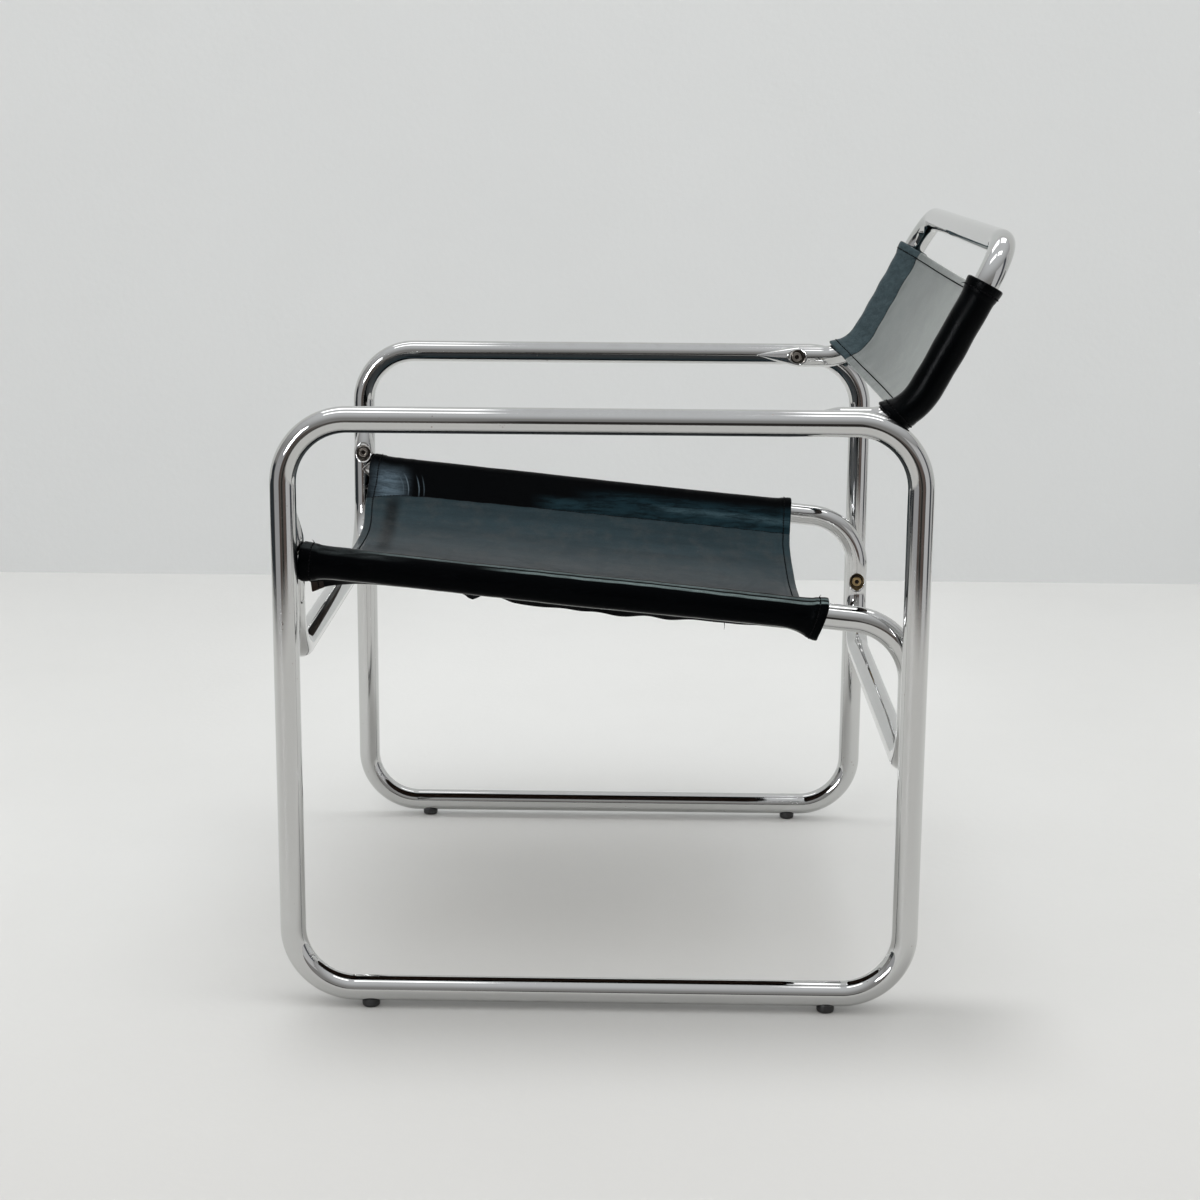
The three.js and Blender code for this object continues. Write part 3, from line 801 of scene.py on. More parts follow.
def tapered_end(point, along, side, up):
    """Rings from the full tube to the tip; along points towards the tip, where point lies."""
    outboard = np.array([math.copysign(1, point[0]), 0, 0])
    across, over = around(INNER_SIDES)
    arms = TUBE_RADIUS * (across * side + over * up)
    found = []
    for reach in np.linspace(1, 0, TIP_STEPS + 1)[1:] ** 1.4:
        share = max(1 - (1 - reach) ** 1.25, 0.035)
        centre = point - along * TIP_LENGTH * reach + outboard * TUBE_RADIUS * (1 - share)
        found.append(centre + arms * share)
    return np.array(found)


def tipped_tube(name, corners, bends, place, node):
    corners = [Vector(corner) for corner in corners]
    trimmed = list(corners)
    trimmed[0] = corners[0] + (corners[1] - corners[0]).normalized() * TIP_LENGTH
    trimmed[-1] = corners[-1] + (corners[-2] - corners[-1]).normalized() * TIP_LENGTH
    axes = with_axes(centre_line(trimmed, bends, fine_at=both_sides(place)), (1, 0, 0))
    _, along, side, up = axes
    first = tapered_end(np.array(corners[0]), -along[0], side[0], up[0])[::-1]
    last = tapered_end(np.array(corners[-1]), along[-1], side[-1], up[-1])
    grid = np.concatenate([first, rings(axes, TUBE_RADIUS, INNER_SIDES), last])
    return new_rod(name, pressed(grid, [place]), CHROME, stands_for=[node])


# %% Front hoop and back frame
tipped_tube(
    "front_hoop_tube",
    [
        (-INNER_X, HOOP_Y, HOOP_TIP_Z),
        (-INNER_X, HOOP_Y, FRONT_BAR_Z),
        (INNER_X, HOOP_Y, FRONT_BAR_Z),
        (INNER_X, HOOP_Y, HOOP_TIP_Z),
    ],
    [BAR_BEND, BAR_BEND],
    SCREW_AT["front"],
    "seat_front_hoop",
)
tipped_tube(
    "back_tube",
    [
        (-INNER_X, ARM_TIP_Y, ARM_Z),
        (-INNER_X, BACK_CORNER_Y, ARM_Z),
        (-INNER_X, TOP_BAR_Y, TOP_BAR_Z),
        (INNER_X, TOP_BAR_Y, TOP_BAR_Z),
        (INNER_X, BACK_CORNER_Y, ARM_Z),
        (INNER_X, ARM_TIP_Y, ARM_Z),
    ],
    [ARM_BEND, TOP_BEND, TOP_BEND, ARM_BEND],
    SCREW_AT["arm"],
    "back_frame",
)

# %% [markdown]
# ## Seat rails
#
# The rails, the rear legs and their cross bar are one tube. Its two front ends are cut like a
# fish's mouth to sit round the hoop's uprights, and welded there. Each point of the last ring
# slides along the rail until it meets the upright, and a small rippled bead covers the joint.

# %% Rails with coped ends
COPE_START = 0.022
COPE_STEPS = 6
COPE_SINK = 0.0003


def onto_upright(ring, along, hand, sink):
    beside = ring[:, 0] - hand * INNER_X
    target = HOOP_Y + np.sqrt(np.maximum((TUBE_RADIUS - sink) ** 2 - beside**2, 0))
    reach = (ring[:, 1] - target) / along[1]
    return ring - reach[:, None] * along


rail_corners = [
    Vector((-INNER_X, HOOP_Y, RAIL_FRONT_Z)),
    Vector((-INNER_X, REAR_POST_Y, RAIL_REAR_Z)),
    Vector((-INNER_X, REAR_POST_Y, REAR_BAR_Z)),
    Vector((INNER_X, REAR_POST_Y, REAR_BAR_Z)),
    Vector((INNER_X, REAR_POST_Y, RAIL_REAR_Z)),
    Vector((INNER_X, HOOP_Y, RAIL_FRONT_Z)),
]
rail_way = (rail_corners[1] - rail_corners[0]).normalized()
rail_trimmed = list(rail_corners)
rail_trimmed[0] = rail_corners[0] + rail_way * COPE_START
rail_trimmed[-1] = rail_corners[-1] + rail_way * COPE_START
rail_line = centre_line(
    rail_trimmed, [RAIL_BEND, BAR_BEND, BAR_BEND, RAIL_BEND], fine_at=both_sides(SCREW_AT["rear"])
)
rail_grid = rings(with_axes(rail_line, (1, 0, 0)), TUBE_RADIUS, INNER_SIDES)
way = np.array(rail_way)
far_coped = onto_upright(rail_grid[0], way, -1, COPE_SINK)
near_coped = onto_upright(rail_grid[-1], way, 1, COPE_SINK)
shares = np.arange(1, COPE_STEPS + 1)[:, None, None] / COPE_STEPS
far_end = (rail_grid[0] + (far_coped - rail_grid[0]) * shares)[::-1]
near_end = rail_grid[-1] + (near_coped - rail_grid[-1]) * shares
rail_grid = pressed(np.concatenate([far_end, rail_grid, near_end]), [SCREW_AT["rear"]])
new_rod("seat_rails_tube", rail_grid, CHROME, stands_for=["seat_rail_tube"])

# %% Weld beads
BEAD_RADIUS = 0.0013
BEAD_RIPPLE = 0.00018
BEAD_RIPPLES = 46
BEAD_SIDES = 10


def weld_bead(name, loop):
    count = len(loop)
    along = np.roll(loop, -1, 0) - np.roll(loop, 1, 0)
    along /= np.linalg.norm(along, axis=1)[:, None]
    outward = loop - loop.mean(0)
    outward -= (outward * along).sum(1)[:, None] * along
    outward /= np.linalg.norm(outward, axis=1)[:, None]
    upward = np.cross(along, outward)
    size = BEAD_RADIUS + BEAD_RIPPLE * np.sin(np.arange(count) / count * 2 * math.pi * BEAD_RIPPLES)
    across, over = around(BEAD_SIDES)
    arms = across * outward[:, None] + over * upward[:, None]
    grid = loop[:, None] + size[:, None, None] * arms
    faces = grid_faces(count, BEAD_SIDES, wrap_rows=True, wrap_columns=True)
    return new_piece(name, grid, faces, WELD)


def closed_fine(loop, times):
    count = len(loop)
    at = np.arange(count * times) / times
    low = at.astype(int)
    share = (at - low)[:, None]
    return loop[low % count] * (1 - share) + loop[(low + 1) % count] * share


weld_bead("right_rail_weld", closed_fine(onto_upright(rail_grid[0], way, -1, 0), 4))
weld_bead("left_rail_weld", closed_fine(onto_upright(rail_grid[-1], way, 1, 0), 4))

# %% [markdown]
# ## Socket screws
#
# Six screws hold the inner tubes to the side frames. Each has a low round head with a chamfer
# and a six-sided socket, and a threaded shank. The head is turned from a profile, and the socket
# is cut by letting the rings go from round to six-sided. The rear ones have lost their plating.

# %% A screw about its own axis
HEAD_SEAT = 0.0058
HEAD_TOP = HEAD_SEAT + 0.0034
HEAD_RADIUS = 0.0056
HEAD_CHAMFER = 0.0006
SOCKET_HALF = 0.0025
SOCKET_DEPTH = 0.0028
# A thin ring at the foot of the head covers the dish floor and carries the painted shade.
SHADE_RING_RADIUS = 0.0071
SHADE_RING_TOP = HEAD_SEAT + 0.00025
SHANK_RADIUS = 0.003
SHANK_END = HEAD_SEAT - 0.028
THREAD_PITCH = 0.001
THREAD_DEPTH = 0.00025
SCREW_SIDES = 72


def six_sided(half):
    angle = np.arange(SCREW_SIDES) / SCREW_SIDES * 2 * math.pi
    return half / np.cos((angle % (math.pi / 3)) - math.pi / 6)


def screw_rings():
    round_ring = np.ones(SCREW_SIDES)
    levels = []
    shank = np.arange(SHANK_END + 0.0006, HEAD_SEAT - 0.003, THREAD_PITCH / 6)
    levels.append((SHANK_END, round_ring * (SHANK_RADIUS - 0.0006)))
    for height in shank:
        wave = 0.5 - 0.5 * math.cos(height / THREAD_PITCH * 2 * math.pi)
        levels.append((height, round_ring * (SHANK_RADIUS - THREAD_DEPTH * wave)))
    levels.append((HEAD_SEAT - 0.002, round_ring * SHANK_RADIUS))
    levels.append((HEAD_SEAT, round_ring * SHANK_RADIUS))
    levels.append((HEAD_SEAT, round_ring * (SHADE_RING_RADIUS - 0.0003)))
    levels.append((SHADE_RING_TOP - 0.0001, round_ring * SHADE_RING_RADIUS))
    levels.append((SHADE_RING_TOP, round_ring * (HEAD_RADIUS + 0.0001)))
    levels.append((SHADE_RING_TOP + 0.0001, round_ring * HEAD_RADIUS))
    levels.append((HEAD_TOP - HEAD_CHAMFER, round_ring * HEAD_RADIUS))
    for angle in np.radians([22.5, 45, 67.5, 90]):
        radius = HEAD_RADIUS - HEAD_CHAMFER * (1 - math.cos(angle))
        levels.append((HEAD_TOP - HEAD_CHAMFER * (1 - math.sin(angle)), round_ring * radius))
    levels.append((HEAD_TOP, round_ring * (HEAD_RADIUS - 0.0016)))
    levels.append((HEAD_TOP, six_sided(SOCKET_HALF + 0.00025)))
    levels.append((HEAD_TOP - 0.0002, six_sided(SOCKET_HALF)))
    levels.append((HEAD_TOP - SOCKET_DEPTH, six_sided(SOCKET_HALF)))
    levels.append((HEAD_TOP - SOCKET_DEPTH - 0.0004, round_ring * 0.0012))
    return levels


def socket_screw(word, name, place, hand, material, slot, turn):
    levels = screw_rings()
    angle = np.arange(SCREW_SIDES) / SCREW_SIDES * 2 * math.pi + turn
    grid = np.array(
        [
            np.stack(
                [
                    np.full(SCREW_SIDES, hand * (INNER_X - height)),
                    place.y + radius * np.cos(angle),
                    place.z + radius * np.sin(angle),
                ],
                -1,
            )
            for height, radius in levels
        ]
    )
    piece = new_rod(
        f"{word}_{name}_socket_screw", grid, material, stands_for=[f"{word}_{name}_screw"]
    )
    piece.data.set_sharp_from_angle(angle=math.radians(40))
    piece.data.materials.append(RECESS_SHADE)
    # The ring's faces and the socket's walls and floor take the painted shade.
    heights = [height for height, _ in levels]
    first = heights.index(SHADE_RING_TOP - 0.0001) - 1
    shaded = np.zeros(len(piece.data.polygons), int)
    shaded[first * SCREW_SIDES : (first + 2) * SCREW_SIDES] = 1
    shaded[(len(levels) - 3) * SCREW_SIDES : (len(levels) - 1) * SCREW_SIDES] = 1
    shaded[len(shaded) - SCREW_SIDES :] = 1
    piece.data.polygons.foreach_set("material_index", shaded)
    return piece


# %% The six screws
SCREW_FINISH = {
    "front": (SCREW_STEEL, "screw_steel"),
    "rear": (WORN_BRASS, "bush_brass"),
    "arm": (SCREW_STEEL, "screw_steel"),
}
turn = 0.0
for word, hand in (("left", 1), ("right", -1)):
    for name, place in SCREW_AT.items():
        turn += 0.41
        socket_screw(word, name, place, hand, *SCREW_FINISH[name], turn)

# %% The bushes stay as they are packed and only get their metal
for word in ("left", "right"):
    for name in SCREW_AT:
        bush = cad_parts[f"{word}_{name}_bush"]
        bush.data.materials.clear()
        bush.data.materials.append(WORN_BRASS)

# %% [markdown]
# ## Glides
#
# Each runner stands on two black plastic glides. A glide is a low round foot whose top is a
# saddle for the runner. It is a turned form whose upper rings are cut down to the tube's
# underside, so that it wraps the tube without lying in it.

# %% Glides
GLIDE_SIDES = 64
GLIDE_PROFILE = (
    (0.0, 0.0), (0.0045, 0.0), (0.0066, 0.00015), (0.0076, 0.0005), (0.0083, 0.0011),
    (0.0087, 0.0021), (0.00875, 0.0032), (0.00875, 0.0050), (0.00875, 0.0068),
    (0.00862, 0.0082), (0.0083, 0.0089), (0.0078, 0.0091), (0.0055, 0.0091), (0.003, 0.0091),
)


def glide(word, end):
    node = f"{word}_{end}_glide"
    low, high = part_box(node)
    centre = (low + high) / 2
    across, over = around(GLIDE_SIDES)
    grid = []
    for radius, height in GLIDE_PROFILE[1:]:
        x, y = radius * across[:, 0], radius * over[:, 0]
        under = RUNNER_Z - np.sqrt(TUBE_RADIUS**2 - x**2) - 0.0001
        grid.append(np.stack([centre.x + x, centre.y + y, np.minimum(low.z + height, under)], -1))
    new_rod(f"{word}_{end}_foot", np.array(grid), GLIDE, stands_for=[node])


for word in ("left", "right"):
    for end in ("front", "rear"):
        glide(word, end)

# %% [markdown]
# ## How a sling is sewn
#
# The hide is one flat piece. It is laid over both tubes, brought back under each of them, and
# sewn to itself along a seam beside the tube, so that the tube lies in a sleeve. Inside the seam
# the raw edge of the flap hangs loose under the panel. Across the chair the hide therefore runs
# from one raw edge, round a tube, down to the seam, along the sagging panel and back the same
# way. That line is drawn for every row along the rails, and its points are then moved for what
# use has done to it: flared sleeve ends, wrinkles beside the seams, creases and a wavy raw edge.
# The two sides are not alike: each has its own random waves, and the back its own seam places.

# %% Sizes of the slings
HIDE = 0.0027
SLEEVE_RADIUS = 0.0131
SEAT = {"sag": 0.066, "flatness": (1.65, 3.6)}
BACK = {"sag": 0.032, "flatness": (1.8, 1.8)}
FLAP_POINTS = 10
TANGENT_POINTS = 10
LOOP_POINTS = 44
PANEL_POINTS = 46
HEM = 0.0115
HEM_STITCH = 0.0068
HEM_SWELL = 0.38
LAYER_GAP = HIDE * 1.04


def ripple(u, v, seed, waves=7, low=40.0, high=140.0):
    """Smooth random waves over a surface; u and v are metres, the wave numbers are per metre."""
    draw = np.random.default_rng(seed)
    total = 0.0
    for _ in range(waves):
        number = draw.uniform(low, high)
        heading = draw.uniform(0, math.pi)
        phase = draw.uniform(0, 2 * math.pi)
        total = total + np.sin(number * (u * math.cos(heading) + v * math.sin(heading)) + phase)
    return total / math.sqrt(waves)


def swell(value, centre, width):
    return np.exp(-(((value - centre) / width) ** 2))


def opens(value, at, soft):
    """0 below a place and 1 above it, with a soft step between them."""
    return 1 / (1 + np.exp(-(value - at) / soft))


def at_ends(front, rear, at_front, at_rear):
    """Swellings at both ends of a sleeve, each given as a height and a reach."""
    return at_front[0] * swell(front, 0, at_front[1]) + at_rear[0] * swell(rear, 0, at_rear[1])


# %% One half of the section, for all rows at once


def half_section(sling, rows, length, shape):
    """Across and over for each row, from the raw edge of the flap to the middle of the panel."""
    v = rows[:, None]
    inset, drop = shape["seam"](v)
    seam_x = INNER_X - inset
    reach = shape["flap"](v)
    droop = shape["droop"](v)

    def panel_over(x):
        share = np.clip(np.abs(x) / seam_x, 0, 1) ** shape["flatness"]
        return -sling["sag"] + (sling["sag"] - drop) * share

    back = np.linspace(1, 0, FLAP_POINTS)[None, :-1]
    flap_x = seam_x - back * reach
    flap_h = panel_over(flap_x) - LAYER_GAP - droop * back**1.6
    radius = SLEEVE_RADIUS + HIDE / 2
    under = -drop - LAYER_GAP
    start = np.arctan2(under, -inset) + np.arccos(radius / np.hypot(inset, under))
    stop = np.arctan2(-drop, -inset) + 2 * math.pi - np.arccos(radius / np.hypot(inset, drop))
    angle = start + (stop - start) * np.linspace(0, 1, LOOP_POINTS)[None, :]
    loop_r = radius + shape["flare"](v, length - v, angle)
    loop_x = INNER_X + loop_r * np.cos(angle)
    loop_h = loop_r * np.sin(angle)
    share = np.linspace(0, 1, TANGENT_POINTS + 1)[None, :-1]
    low_x = seam_x + (loop_x[:, :1] - seam_x) * share
    low_h = under + (loop_h[:, :1] - under) * share
    share = np.linspace(0, 1, TANGENT_POINTS + 1)[None, 1:]
    high_x = loop_x[:, -1:] + (seam_x - loop_x[:, -1:]) * share
    high_h = loop_h[:, -1:] + (-drop - loop_h[:, -1:]) * share
    panel_x = seam_x * np.linspace(1, 0, PANEL_POINTS)[None, 1:]
    x = np.concatenate([flap_x, low_x, loop_x, high_x, panel_x], 1)
    h = np.concatenate([flap_h, low_h, loop_h, high_h, panel_over(panel_x)], 1)
    return x, h


FLAP_END = FLAP_POINTS - 1
LOOP_START = FLAP_END + TANGENT_POINTS
LOOP_END = LOOP_START + LOOP_POINTS
SEAM_AT = LOOP_END + TANGENT_POINTS - 1
HALF_POINTS = SEAM_AT + PANEL_POINTS
print("points across half a sling:", HALF_POINTS)

# %% Row places: close together at the hems, further apart between them


def row_places(length, fine=0.0011, coarse=0.0036, fine_reach=0.0155):
    ends = np.arange(0, fine_reach, fine)
    middle = np.linspace(fine_reach, length - fine_reach, round((length - 2 * fine_reach) / coarse))
    return np.concatenate([ends, middle, length - ends[::-1]])


# %% From rows and sections to a sheet with thickness


def in_space(x, h, rows, length, places, edges):
    """Puts a section's points in the room; edges gives how far both ends run on from straight."""
    point, along, up, lean = places
    share = rows[:, None] / length
    front, rear = edges(x, h, rows[:, None], length - rows[:, None])
    shift = front * (1 - share) + rear * share + lean[:, None] * h
    return (
        point[:, None]
        + x[..., None] * np.array([1.0, 0, 0])
        + h[..., None] * up[:, None]
        + shift[..., None] * along[:, None]
    )


def surface_normals(grid):
    normal = np.cross(np.gradient(grid, axis=0), np.gradient(grid, axis=1))
    return normal / np.maximum(np.linalg.norm(normal, axis=2, keepdims=True), 1e-12)


RIM = 3


def rounded_rim(grid, thickness, steps=RIM):
    """Grows the sheet's edges over a half round, by rows and columns that get thinner."""
    angles = np.radians(np.linspace(0, 80, steps + 1)[1:])
    for axis in (0, 1):
        grid = np.swapaxes(grid, 0, axis)
        thickness = np.swapaxes(thickness, 0, axis)
        sets = []
        for edge, inner in ((0, 1), (-1, -2)):
            out = grid[edge] - grid[inner]
            out /= np.linalg.norm(out, axis=1, keepdims=True)
            half = thickness[edge][:, None] / 2
            added = [grid[edge] + out * half * math.sin(angle) for angle in angles]
            thinner = [thickness[edge] * math.cos(angle) for angle in angles]
            sets.append((np.array(added), np.array(thinner)))
        (front, front_thin), (rear, rear_thin) = sets
        grid = np.swapaxes(np.concatenate([front[::-1], grid, rear]), 0, axis)
        thickness = np.swapaxes(np.concatenate([front_thin[::-1], thickness, rear_thin]), 0, axis)
    return grid, thickness


def hide_piece(name, grid, thickness, hem_rows, node, finishes, bare=0):
    grid, thickness = rounded_rim(grid, thickness)
    normal = surface_normals(grid)
    outer = grid + normal * thickness[..., None] / 2
    inner = grid - normal * thickness[..., None] / 2
    rows, columns = grid.shape[:2]
    size = rows * columns
    top = grid_faces(rows, columns)
    under = top[:, ::-1] + size
    edge = np.arange(columns)
    side = np.arange(rows) * columns
    strips = []
    for line in (edge[::-1], edge + size - columns, side, (side + columns - 1)[::-1]):
        strips.append(np.stack([line[:-1], line[1:], line[1:] + size, line[:-1] + size], -1))
    faces = np.concatenate([top, under, *strips])
    piece = new_piece(
        name, np.concatenate([outer.reshape(-1, 3), inner.reshape(-1, 3)]), faces,
        finishes[0], stands_for=[node],
    )
    piece.data.materials.append(SUEDE)
    piece.data.materials.append(finishes[1])
    piece.data.materials.append(FLAP)
    row_of = np.arange(len(top)) // (columns - 1)
    folded = (row_of < hem_rows) | (row_of >= rows - 1 - hem_rows)
    column_of = np.arange(len(top)) % (columns - 1)
    flap = (column_of < FLAP_END + RIM) | (column_of >= columns - 1 - FLAP_END - RIM)
    turned = (row_of < bare) & (column_of < FLAP_END)
    panel = (column_of >= SEAM_AT + RIM) & (column_of < columns - 1 - SEAM_AT - RIM)
    finish = np.concatenate(
        [np.where(turned, 1, np.where(panel, 2, np.where(flap, 3, 0))), np.where(folded, 0, 1),
         np.zeros(2 * (columns - 1), int), np.full(2 * (rows - 1), 3)]
    )
    piece.data.polygons.foreach_set("material_index", finish)
    return piece, outer, normal


# %% [markdown]
# ## The seat
#
# The seat's hide hangs between the rails, lowest in the middle. Its sleeve ends are wider than
# the tube because the hem is folded twice there, and the far front corner has been pulled into
# two arched creases.

# %% Rows along the seat rails
SEAT_REAR_GAP = 0.0842
seat_start = rail_corners[0].copy()
seat_start.x = 0
seat_stop = rail_corners[1].copy()
seat_stop.x = 0
seat_length = (seat_stop - seat_start).length - SEAT_FRONT - SEAT_REAR_GAP
seat_rows = row_places(seat_length)
seat_up = Vector((1, 0, 0)).cross(rail_way)


def seat_places():
    count = len(seat_rows)
    point = np.array(seat_start + rail_way * SEAT_FRONT) + seat_rows[:, None] * way
    along = np.tile(way, (count, 1))
    up = np.tile(np.array(seat_up), (count, 1))
    return point, along, up, np.zeros(count)


print(f"seat sleeve {seat_length * 1000:.0f} mm long, {len(seat_rows)} rows")

# %% What use has done to the seat's sleeves and flaps


SEAT_FLARE = ((0.0018, 0.011), (0.0016, 0.012))
SEAT_HANG = ((0.0030, 0.014), (0.0088, 0.022))
HANGS_AT = (-1.75, 0.75)
SEAT_SLACK = 0.0003
UPRIGHT_GAP = 0.0004
REACH_OUTBOARD, REACH_OUTBOARD_FAR, REACH_INBOARD = 0.0040, 0.0070, 0.0050
SEAM_INSET, SEAM_DROP = 0.05935, 0.027
SEAM_SHARE, SEAM_FRONT, SEAM_FALL = 0.745, (0.245, 0.030), 0.04
FLAP_WIDTH, FLAP_WAVE = 0.0155, 0.0018
FLAP_DROOP, DROOP_FADE, DROOP_WAVE = 0.0056, 0.0026, 0.0016
FLAP_CORNER = (0.0115, 0.026)
FLAP_TAG = (0.160, 0.0065, 0.0052)
FLAP_RAGGED = (0.196, 0.425)


def seat_shape(hand):
    far = int(hand < 0)

    def seam(v):
        share = SEAM_SHARE + SEAM_FRONT[0] * np.exp(-v / SEAM_FRONT[1]) - SEAM_FALL * (v / seat_length) ** 2
        return SEAM_INSET * share, SEAM_DROP * share

    def flap(v):
        wavy = FLAP_WAVE * ripple(v, 0 * v, 11 + far, low=60, high=520)
        return FLAP_WIDTH + wavy - 0.003 * swell(v, 0.10, 0.07)

    def droop(v):
        wavy = ripple(v, 0 * v, 21 + far, low=25, high=190)
        inside = opens(v, FLAP_RAGGED[0], 0.004) / (1 + np.exp((v - FLAP_RAGGED[1]) / 0.020))
        fading = FLAP_DROOP - DROOP_FADE * (v - FLAP_RAGGED[0]) / (FLAP_RAGGED[1] - FLAP_RAGGED[0])
        corner = np.maximum(FLAP_CORNER[0] * np.exp(-v / FLAP_CORNER[1]) - 0.0008, 0)
        tag = FLAP_TAG[2] * swell(v, FLAP_TAG[0], FLAP_TAG[1])
        return np.maximum((fading + DROOP_WAVE * wavy) * inside, 0.0002) + corner + tag

    def flare(front, rear, angle):
        hang = swell(angle, *HANGS_AT) * at_ends(front, rear, *SEAT_HANG)
        slack = SEAT_SLACK * (1 + ripple(front, angle * 0.014, 31 + far, low=60, high=260))
        return at_ends(front, rear, *SEAT_FLARE) + hang + slack * (0.3 + 0.7 * np.cos(angle) ** 2)

    flatness = SEAT["flatness"][far]
    return {"seam": seam, "flap": flap, "droop": droop, "flare": flare, "flatness": flatness}


def round_the_upright(x, front):
    """The sleeve's flanks reach past the hoop's uprights; its top stops short of them."""
    beside = np.abs(x) - INNER_X
    room = SEAT_FRONT - np.sqrt(np.maximum(TUBE_RADIUS**2 - (0.9 * beside) ** 2, 0)) - UPRIGHT_GAP
    outboard = np.where(x > 0, REACH_OUTBOARD, REACH_OUTBOARD_FAR)
    reach = np.minimum(room, np.where(beside > 0, outboard, REACH_INBOARD))
    on_sleeve = opens(beside, -0.030, 0.004)
    return reach * on_sleeve * swell(front, 0, 0.0075)


def seat_edges(x, h, front, rear):
    aside = np.abs(x)
    first = -0.002 * swell(aside, 0.228, 0.028) + 0.0035 * swell(aside, 0.165, 0.040)
    first = first + 0.001 * swell(aside, 0.08, 0.05)
    last = 0.0090 * np.clip(1 - (aside / 0.228) ** 2, 0, 1)
    low_side = np.clip((0.010 - h) / 0.030, 0, 1) * ((x > 0.2) | (x < 0.006 - INNER_X))
    last = last - 0.0065 * low_side * swell(rear, 0, 0.030) - 0.001
    return first - round_the_upright(x, front), last


def both_halves(sling, rows, length, shapes):
    near_x, near_h = half_section(sling, rows, length, shapes(1))
    far_x, far_h = half_section(sling, rows, length, shapes(-1))
    x = np.concatenate([near_x, -far_x[:, -2::-1]], 1)
    h = np.concatenate([near_h, far_h[:, -2::-1]], 1)
    return x, h


def across_hide(x, h):
    """How far each point is from the raw edge, measured over the hide."""
    step = np.hypot(np.diff(x, axis=1), np.diff(h, axis=1))
    return np.concatenate([np.zeros((len(x), 1)), np.cumsum(step, axis=1)], 1)


# %% Wrinkles, seams and hems as movement along the normal


SLACK_LIFT = 0.0004
GROOVE_DEPTH, GROOVE_WIDTH = 0.0007, 0.0016
RIDGE_HEIGHT, RIDGE_AWAY, RIDGE_WIDTH = 0.0004, 0.0042, 0.0022
PULL_HEIGHT, PULL_REACH = 0.0005, 0.016
DENT_DEPTH, DENT_WIDTH = 0.0004, 0.0011
CRIMP_HEIGHT, CRIMP_PITCH, CRIMP_REACH = 0.0002, 0.0036, 0.006
EDGE_WAVE, EDGE_REACH = 0.0003, 0.02
FLAP_QUIET = 0.35


def worked(grid, x, h, rows, length, seed):
    width = across_hide(x, h)
    v = rows[:, None] + 0 * x
    columns = grid.shape[1]
    near_seam = width[:, SEAM_AT][:, None]
    far_seam = width[:, columns - 1 - SEAM_AT][:, None]
    lift = SLACK_LIFT * ripple(width, v * 0.45, seed, low=18, high=70)
    puckers = 0.0
    for at, side in ((near_seam, 1), (far_seam, 2)):
        off = width - at
        groove = -GROOVE_DEPTH * swell(off, 0, GROOVE_WIDTH)
        ridge = RIDGE_HEIGHT * swell(np.abs(off), RIDGE_AWAY, RIDGE_WIDTH)
        pull = PULL_HEIGHT * ripple(off * 0.3, v, seed + side, low=120, high=420)
        puckers = puckers + groove + ridge + pull * swell(off, 0, PULL_REACH)
    nearest = np.minimum(v, length - v)
    stitched = -DENT_DEPTH * swell(nearest, HEM_STITCH, DENT_WIDTH)
    crimp = CRIMP_HEIGHT * np.cos(width / CRIMP_PITCH * 2 * math.pi) * swell(nearest, 0, CRIMP_REACH)
    edge_wave = EDGE_WAVE * ripple(width, v * 0, seed + 5, low=25, high=120)
    edge_wave = edge_wave * swell(nearest, 0, EDGE_REACH)
    layer = np.arange(columns)
    on_flap = (layer < FLAP_END) | (layer >= columns - FLAP_END)
    quiet = np.where(on_flap, FLAP_QUIET, 1.0)[None, :]
    return (lift + puckers + stitched + crimp + edge_wave) * quiet


def hide_thickness(rows, length, columns):
    nearest = np.minimum(rows, length - rows)
    folded = 1 / (1 + np.exp((nearest - HEM) / 0.0005))
    return (HIDE * (1 + HEM_SWELL * folded))[:, None] * np.ones((1, columns))


# %% The seat's hide
seat_x, seat_h = both_halves(SEAT, seat_rows, seat_length, seat_shape)
seat_grid = in_space(seat_x, seat_h, seat_rows, seat_length, seat_places(), seat_edges)
seat_lift = worked(seat_grid, seat_x, seat_h, seat_rows, seat_length, 41)
CREASES = ((0.026, 0.034), (0.040, 0.046))
CREASE_HEIGHT, CREASE_WIDTH = 0.0011, 0.0024


def corner_creases(x, h, rows):
    """Two arched ridges from the top of the far sleeve to its seam, near the front."""
    width = across_hide(x, h)
    columns = x.shape[1]
    seam = width[:, columns - 1 - SEAM_AT][:, None]
    climb = np.clip((width - seam) / 0.075, -0.35, 1.2)
    total = 0.0
    for start, spread_out in CREASES:
        line = start + spread_out * (1 - np.clip(climb, 0, 1)) ** 1.6
        ridge = swell(rows[:, None], line, CREASE_WIDTH)
        reach = np.clip(1 - np.abs(climb - 0.35) / 0.75, 0, 1)
        total = total + CREASE_HEIGHT * ridge * reach
    return total


seat_lift = seat_lift + corner_creases(seat_x, seat_h, seat_rows)
seat_grid = seat_grid + surface_normals(seat_grid) * seat_lift[..., None]
seat_thick = hide_thickness(seat_rows, seat_length, seat_grid.shape[1])
seat_hide, seat_outer, seat_normal = hide_piece(
    "seat_leather", seat_grid, seat_thick, 12, "seat_sling", (SEAT_SLEEVE, SEAT_PANEL), 14
)

# %% [markdown]
# ## Stitches
#
# A row of stitches is a thread that dives and surfaces. Only the part above the leather shows, so
# each stitch is a short arched strand whose ends sink into the surface. The strands follow a line
# on the leather's outer face. At a few places a cut end of thread stands out of the last hole.

# %% Stitch rows
STITCH_PITCH = 0.0036
STITCH_LENGTH = 0.0033
THREAD_RADIUS = 0.00050
HEM_THREAD_RADIUS = 0.00072
STITCH_SIDES = 7
STITCH_RINGS = 7
END_RINGS = 9


